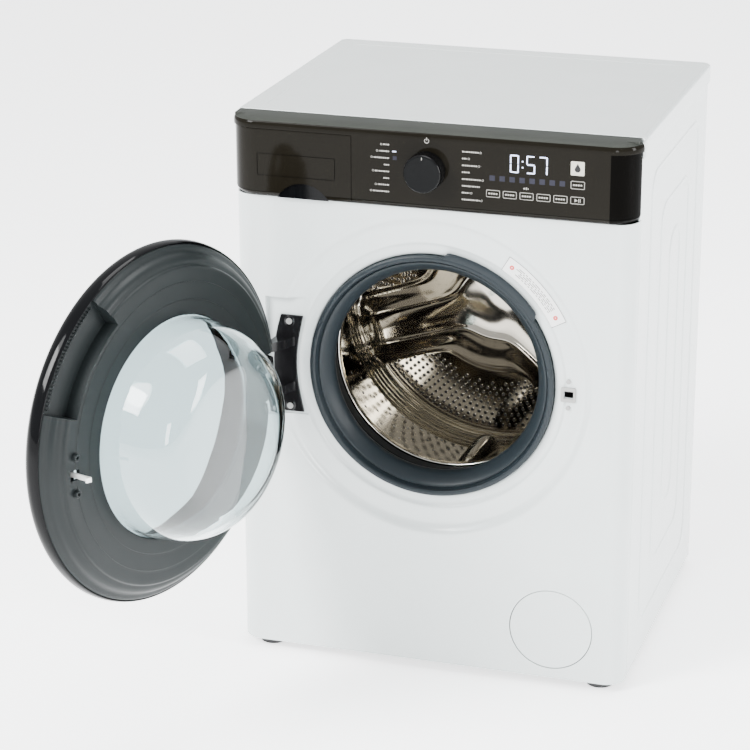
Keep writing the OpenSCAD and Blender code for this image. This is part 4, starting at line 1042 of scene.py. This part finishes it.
def hinge():
    """Gloss black bracket: a crescent plate and two goose-neck lugs."""
    plate = []
    for i in range(25):
        a = math.radians(180 - 18.2 + 36.4 * i / 24)
        plate.append((240.5 * math.cos(a), AXIS_Z + 240.5 * math.sin(a)))
    for i in range(25):
        t = 1 - 2 * i / 24
        waist = 12 * math.cos(t * math.pi / 2)
        plate.append((-194 - waist * 0.9, AXIS_Z - 75 * t))
    outline = [p for p in plate]
    piece("hinge_bracket_plate", *prism_data(outline, 5.6, 9.4), "gloss_black", "cabinet", ["hinge_bracket"], "black_plastic",
          bevel=1.1)
    lugs = []
    neck = curve_profile([(-205, 8.6), (-211, 0), (-216, -12), (-224, -26), (-233, -38.6), (-238.6, -45.6)], 4)
    heel = curve_profile([(-236.5, 8.6), (-236, 0), (-237, -12), (-240.4, -26), (-247, -36.8)], 4)
    knuckle = [(HINGE[0] + 8 * math.cos(math.radians(a)), HINGE[1] - FRONT_Y + 8 * math.sin(math.radians(a)))
               for a in range(10, -235, -15)]
    for s in (-1, 1):
        side = [p for p in neck[:-1]] + knuckle + list(reversed(heel))
        z0 = AXIS_Z + s * 35
        verts = [(x, FRONT_Y + y, z0 + h) for h in (-7, 7) for x, y in side]
        n = len(side)
        lugs.append((verts, [tuple(range(n)), tuple(range(n, 2 * n))] + [(i, (i + 1) % n, n + (i + 1) % n, n + i) for i in range(n)]))
    piece("hinge_bracket_lugs", *joined(lugs), "gloss_black", "cabinet", slot="black_plastic", bevel=1.2)
    # Raised pads under the two screws
    pads = [lathe_data([(0, 4.4), (7.2, 4.4), (8.2, 5.2), (8.6, 7), (0, 7)], centre=(-215, AXIS_Z + s * 66), steps=40) for s in (-1, 1)]
    piece("hinge_bracket_pads", *joined(pads), "gloss_black", "cabinet", slot="black_plastic", sharp=40)


def sticker():
    """A blank curved care label with a thin border and neutral strokes, upper right of the opening."""
    parts, lines, red = [], [], []
    r0, r1, a0, a1 = 201.4, 226.4, 27.5, 59
    parts.append(lathe_data([(r0, 9.3), (203, 8.5), (206, 7.7), (211, 7.55), (220, 7.55), (r1, 7.3), (r1, 7.7), (220, 7.95),
                             (211, 7.95), (206, 8.05), (203, 8.75), (r0, 9.6)], a0, a1 - a0, 32))
    for r, d in ((r0 + 0.2, 9.2), (r1 - 0.8, 7.3)):
        lines.append(lathe_data([(r, d), (r + 0.7, d - 0.1), (r + 0.7, d - 0.2), (r, d - 0.1)], a0, a1 - a0, 32))
    for a in (a0, a1 - 0.2):
        lines.append(lathe_data([(r0, 9.2), (203, 8.4), (206, 7.6), (220, 7.45), (r1, 7.2), (r1, 7.1), (220, 7.35), (206, 7.5),
                                 (203, 8.3), (r0, 9.1)], a, 0.2, 1))
    for k, r in enumerate((208.6, 211.2, 213.8, 216.4, 219)):
        a = a0 + 6
        while a < a1 - 7:
            w = (1.8, 0.9, 2.6, 1.3)[(k + int(a)) % 4]
            lines.append(lathe_data([(r, 7.5), (r + 0.9, 7.5), (r + 0.9, 7.42), (r, 7.42)], a, w, 3))
            a += w + 0.6
    for a in (a0 + 3, a1 - 3):
        t = math.radians(a)
        red.append(lathe_data([(0.9, 7.5), (3.4, 7.5), (3.4, 7.4), (0.9, 7.4)],
                              centre=(214.2 * math.cos(t), AXIS_Z + 214.2 * math.sin(t)), steps=24))
    piece("care_label", *joined(parts), "white_print", "cabinet", slot="white_enamel")
    piece("care_label_strokes", *joined(lines), "print_dark", "cabinet", slot="white_enamel")
    piece("care_label_rings", *joined(red), "print_red", "cabinet", slot="white_enamel")


# ---- the CAD nodes that keep their own shape ----

KEPT = {
    "galvanised": ["rear_panel", "rear_service_cover", "top_braces"], "base_grey": ["base_tray", "motor"],
    "black_rubber": ["feet", "inlet_hose", "dispenser_hose", "sump_hose", "tub_seal", "drive_belt", "door_lock",
                     "damper_cylinders", "mains_filter", "pump_filter"],
    "dull_zinc": ["panel_screws", "lock_plate"],
    "zinc": ["foot_lock_nuts", "hinge_pin", "gasket_clamp", "suspension_springs",
             "damper_rods", "bearings", "drum_shaft", "motor_pulley", "door_hinge_plate", "heater"],
    # the tub takes the darkened plastic: painted shade
    "tub_painted_shade": ["tub_front", "tub_rear"],
    "board": ["control_board"], "concrete": ["counterweight_top", "counterweights_front"],
    "pale_plastic": ["dispenser_housing", "inlet_valve", "drain_pump", "detergent_drawer", "pump_impeller"],
    "grey_plastic": ["drain_hose"], "cast": ["drum_spider", "drum_pulley"],
}


def stretched(node, name, material):
    """A copy of a CAD node in the node's place, with a new material; the node itself is hidden."""
    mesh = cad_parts[node].data.copy()
    obj = bpy.data.objects.new(name, mesh)
    bpy.context.scene.collection.objects.link(obj)
    mesh.materials.clear()
    mesh.materials.append(MATERIALS[material])
    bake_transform(obj)
    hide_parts(node)


def dress_kept_nodes():
    for material, names in KEPT.items():
        for name in names:
            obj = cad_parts[name]
            obj.data.materials.clear()
            obj.data.materials.append(MATERIALS[material])


make_camera()
make_stage()
dress_kept_nodes()
front_panel()
side_panel(-1, "left_side_panel")
side_panel(1, "right_side_panel")
lid()
fascia()
prints()
knob()
hatch()
gasket()
drum_front()
drum_shell()
drum_back()
lifters()
door()
door_glass()
hook()
hinge()
sticker()
stretched("suspension_springs", "suspension_spring_coils", "zinc")
stretched("sump_hose", "sump_hose_sleeve", "black_rubber")
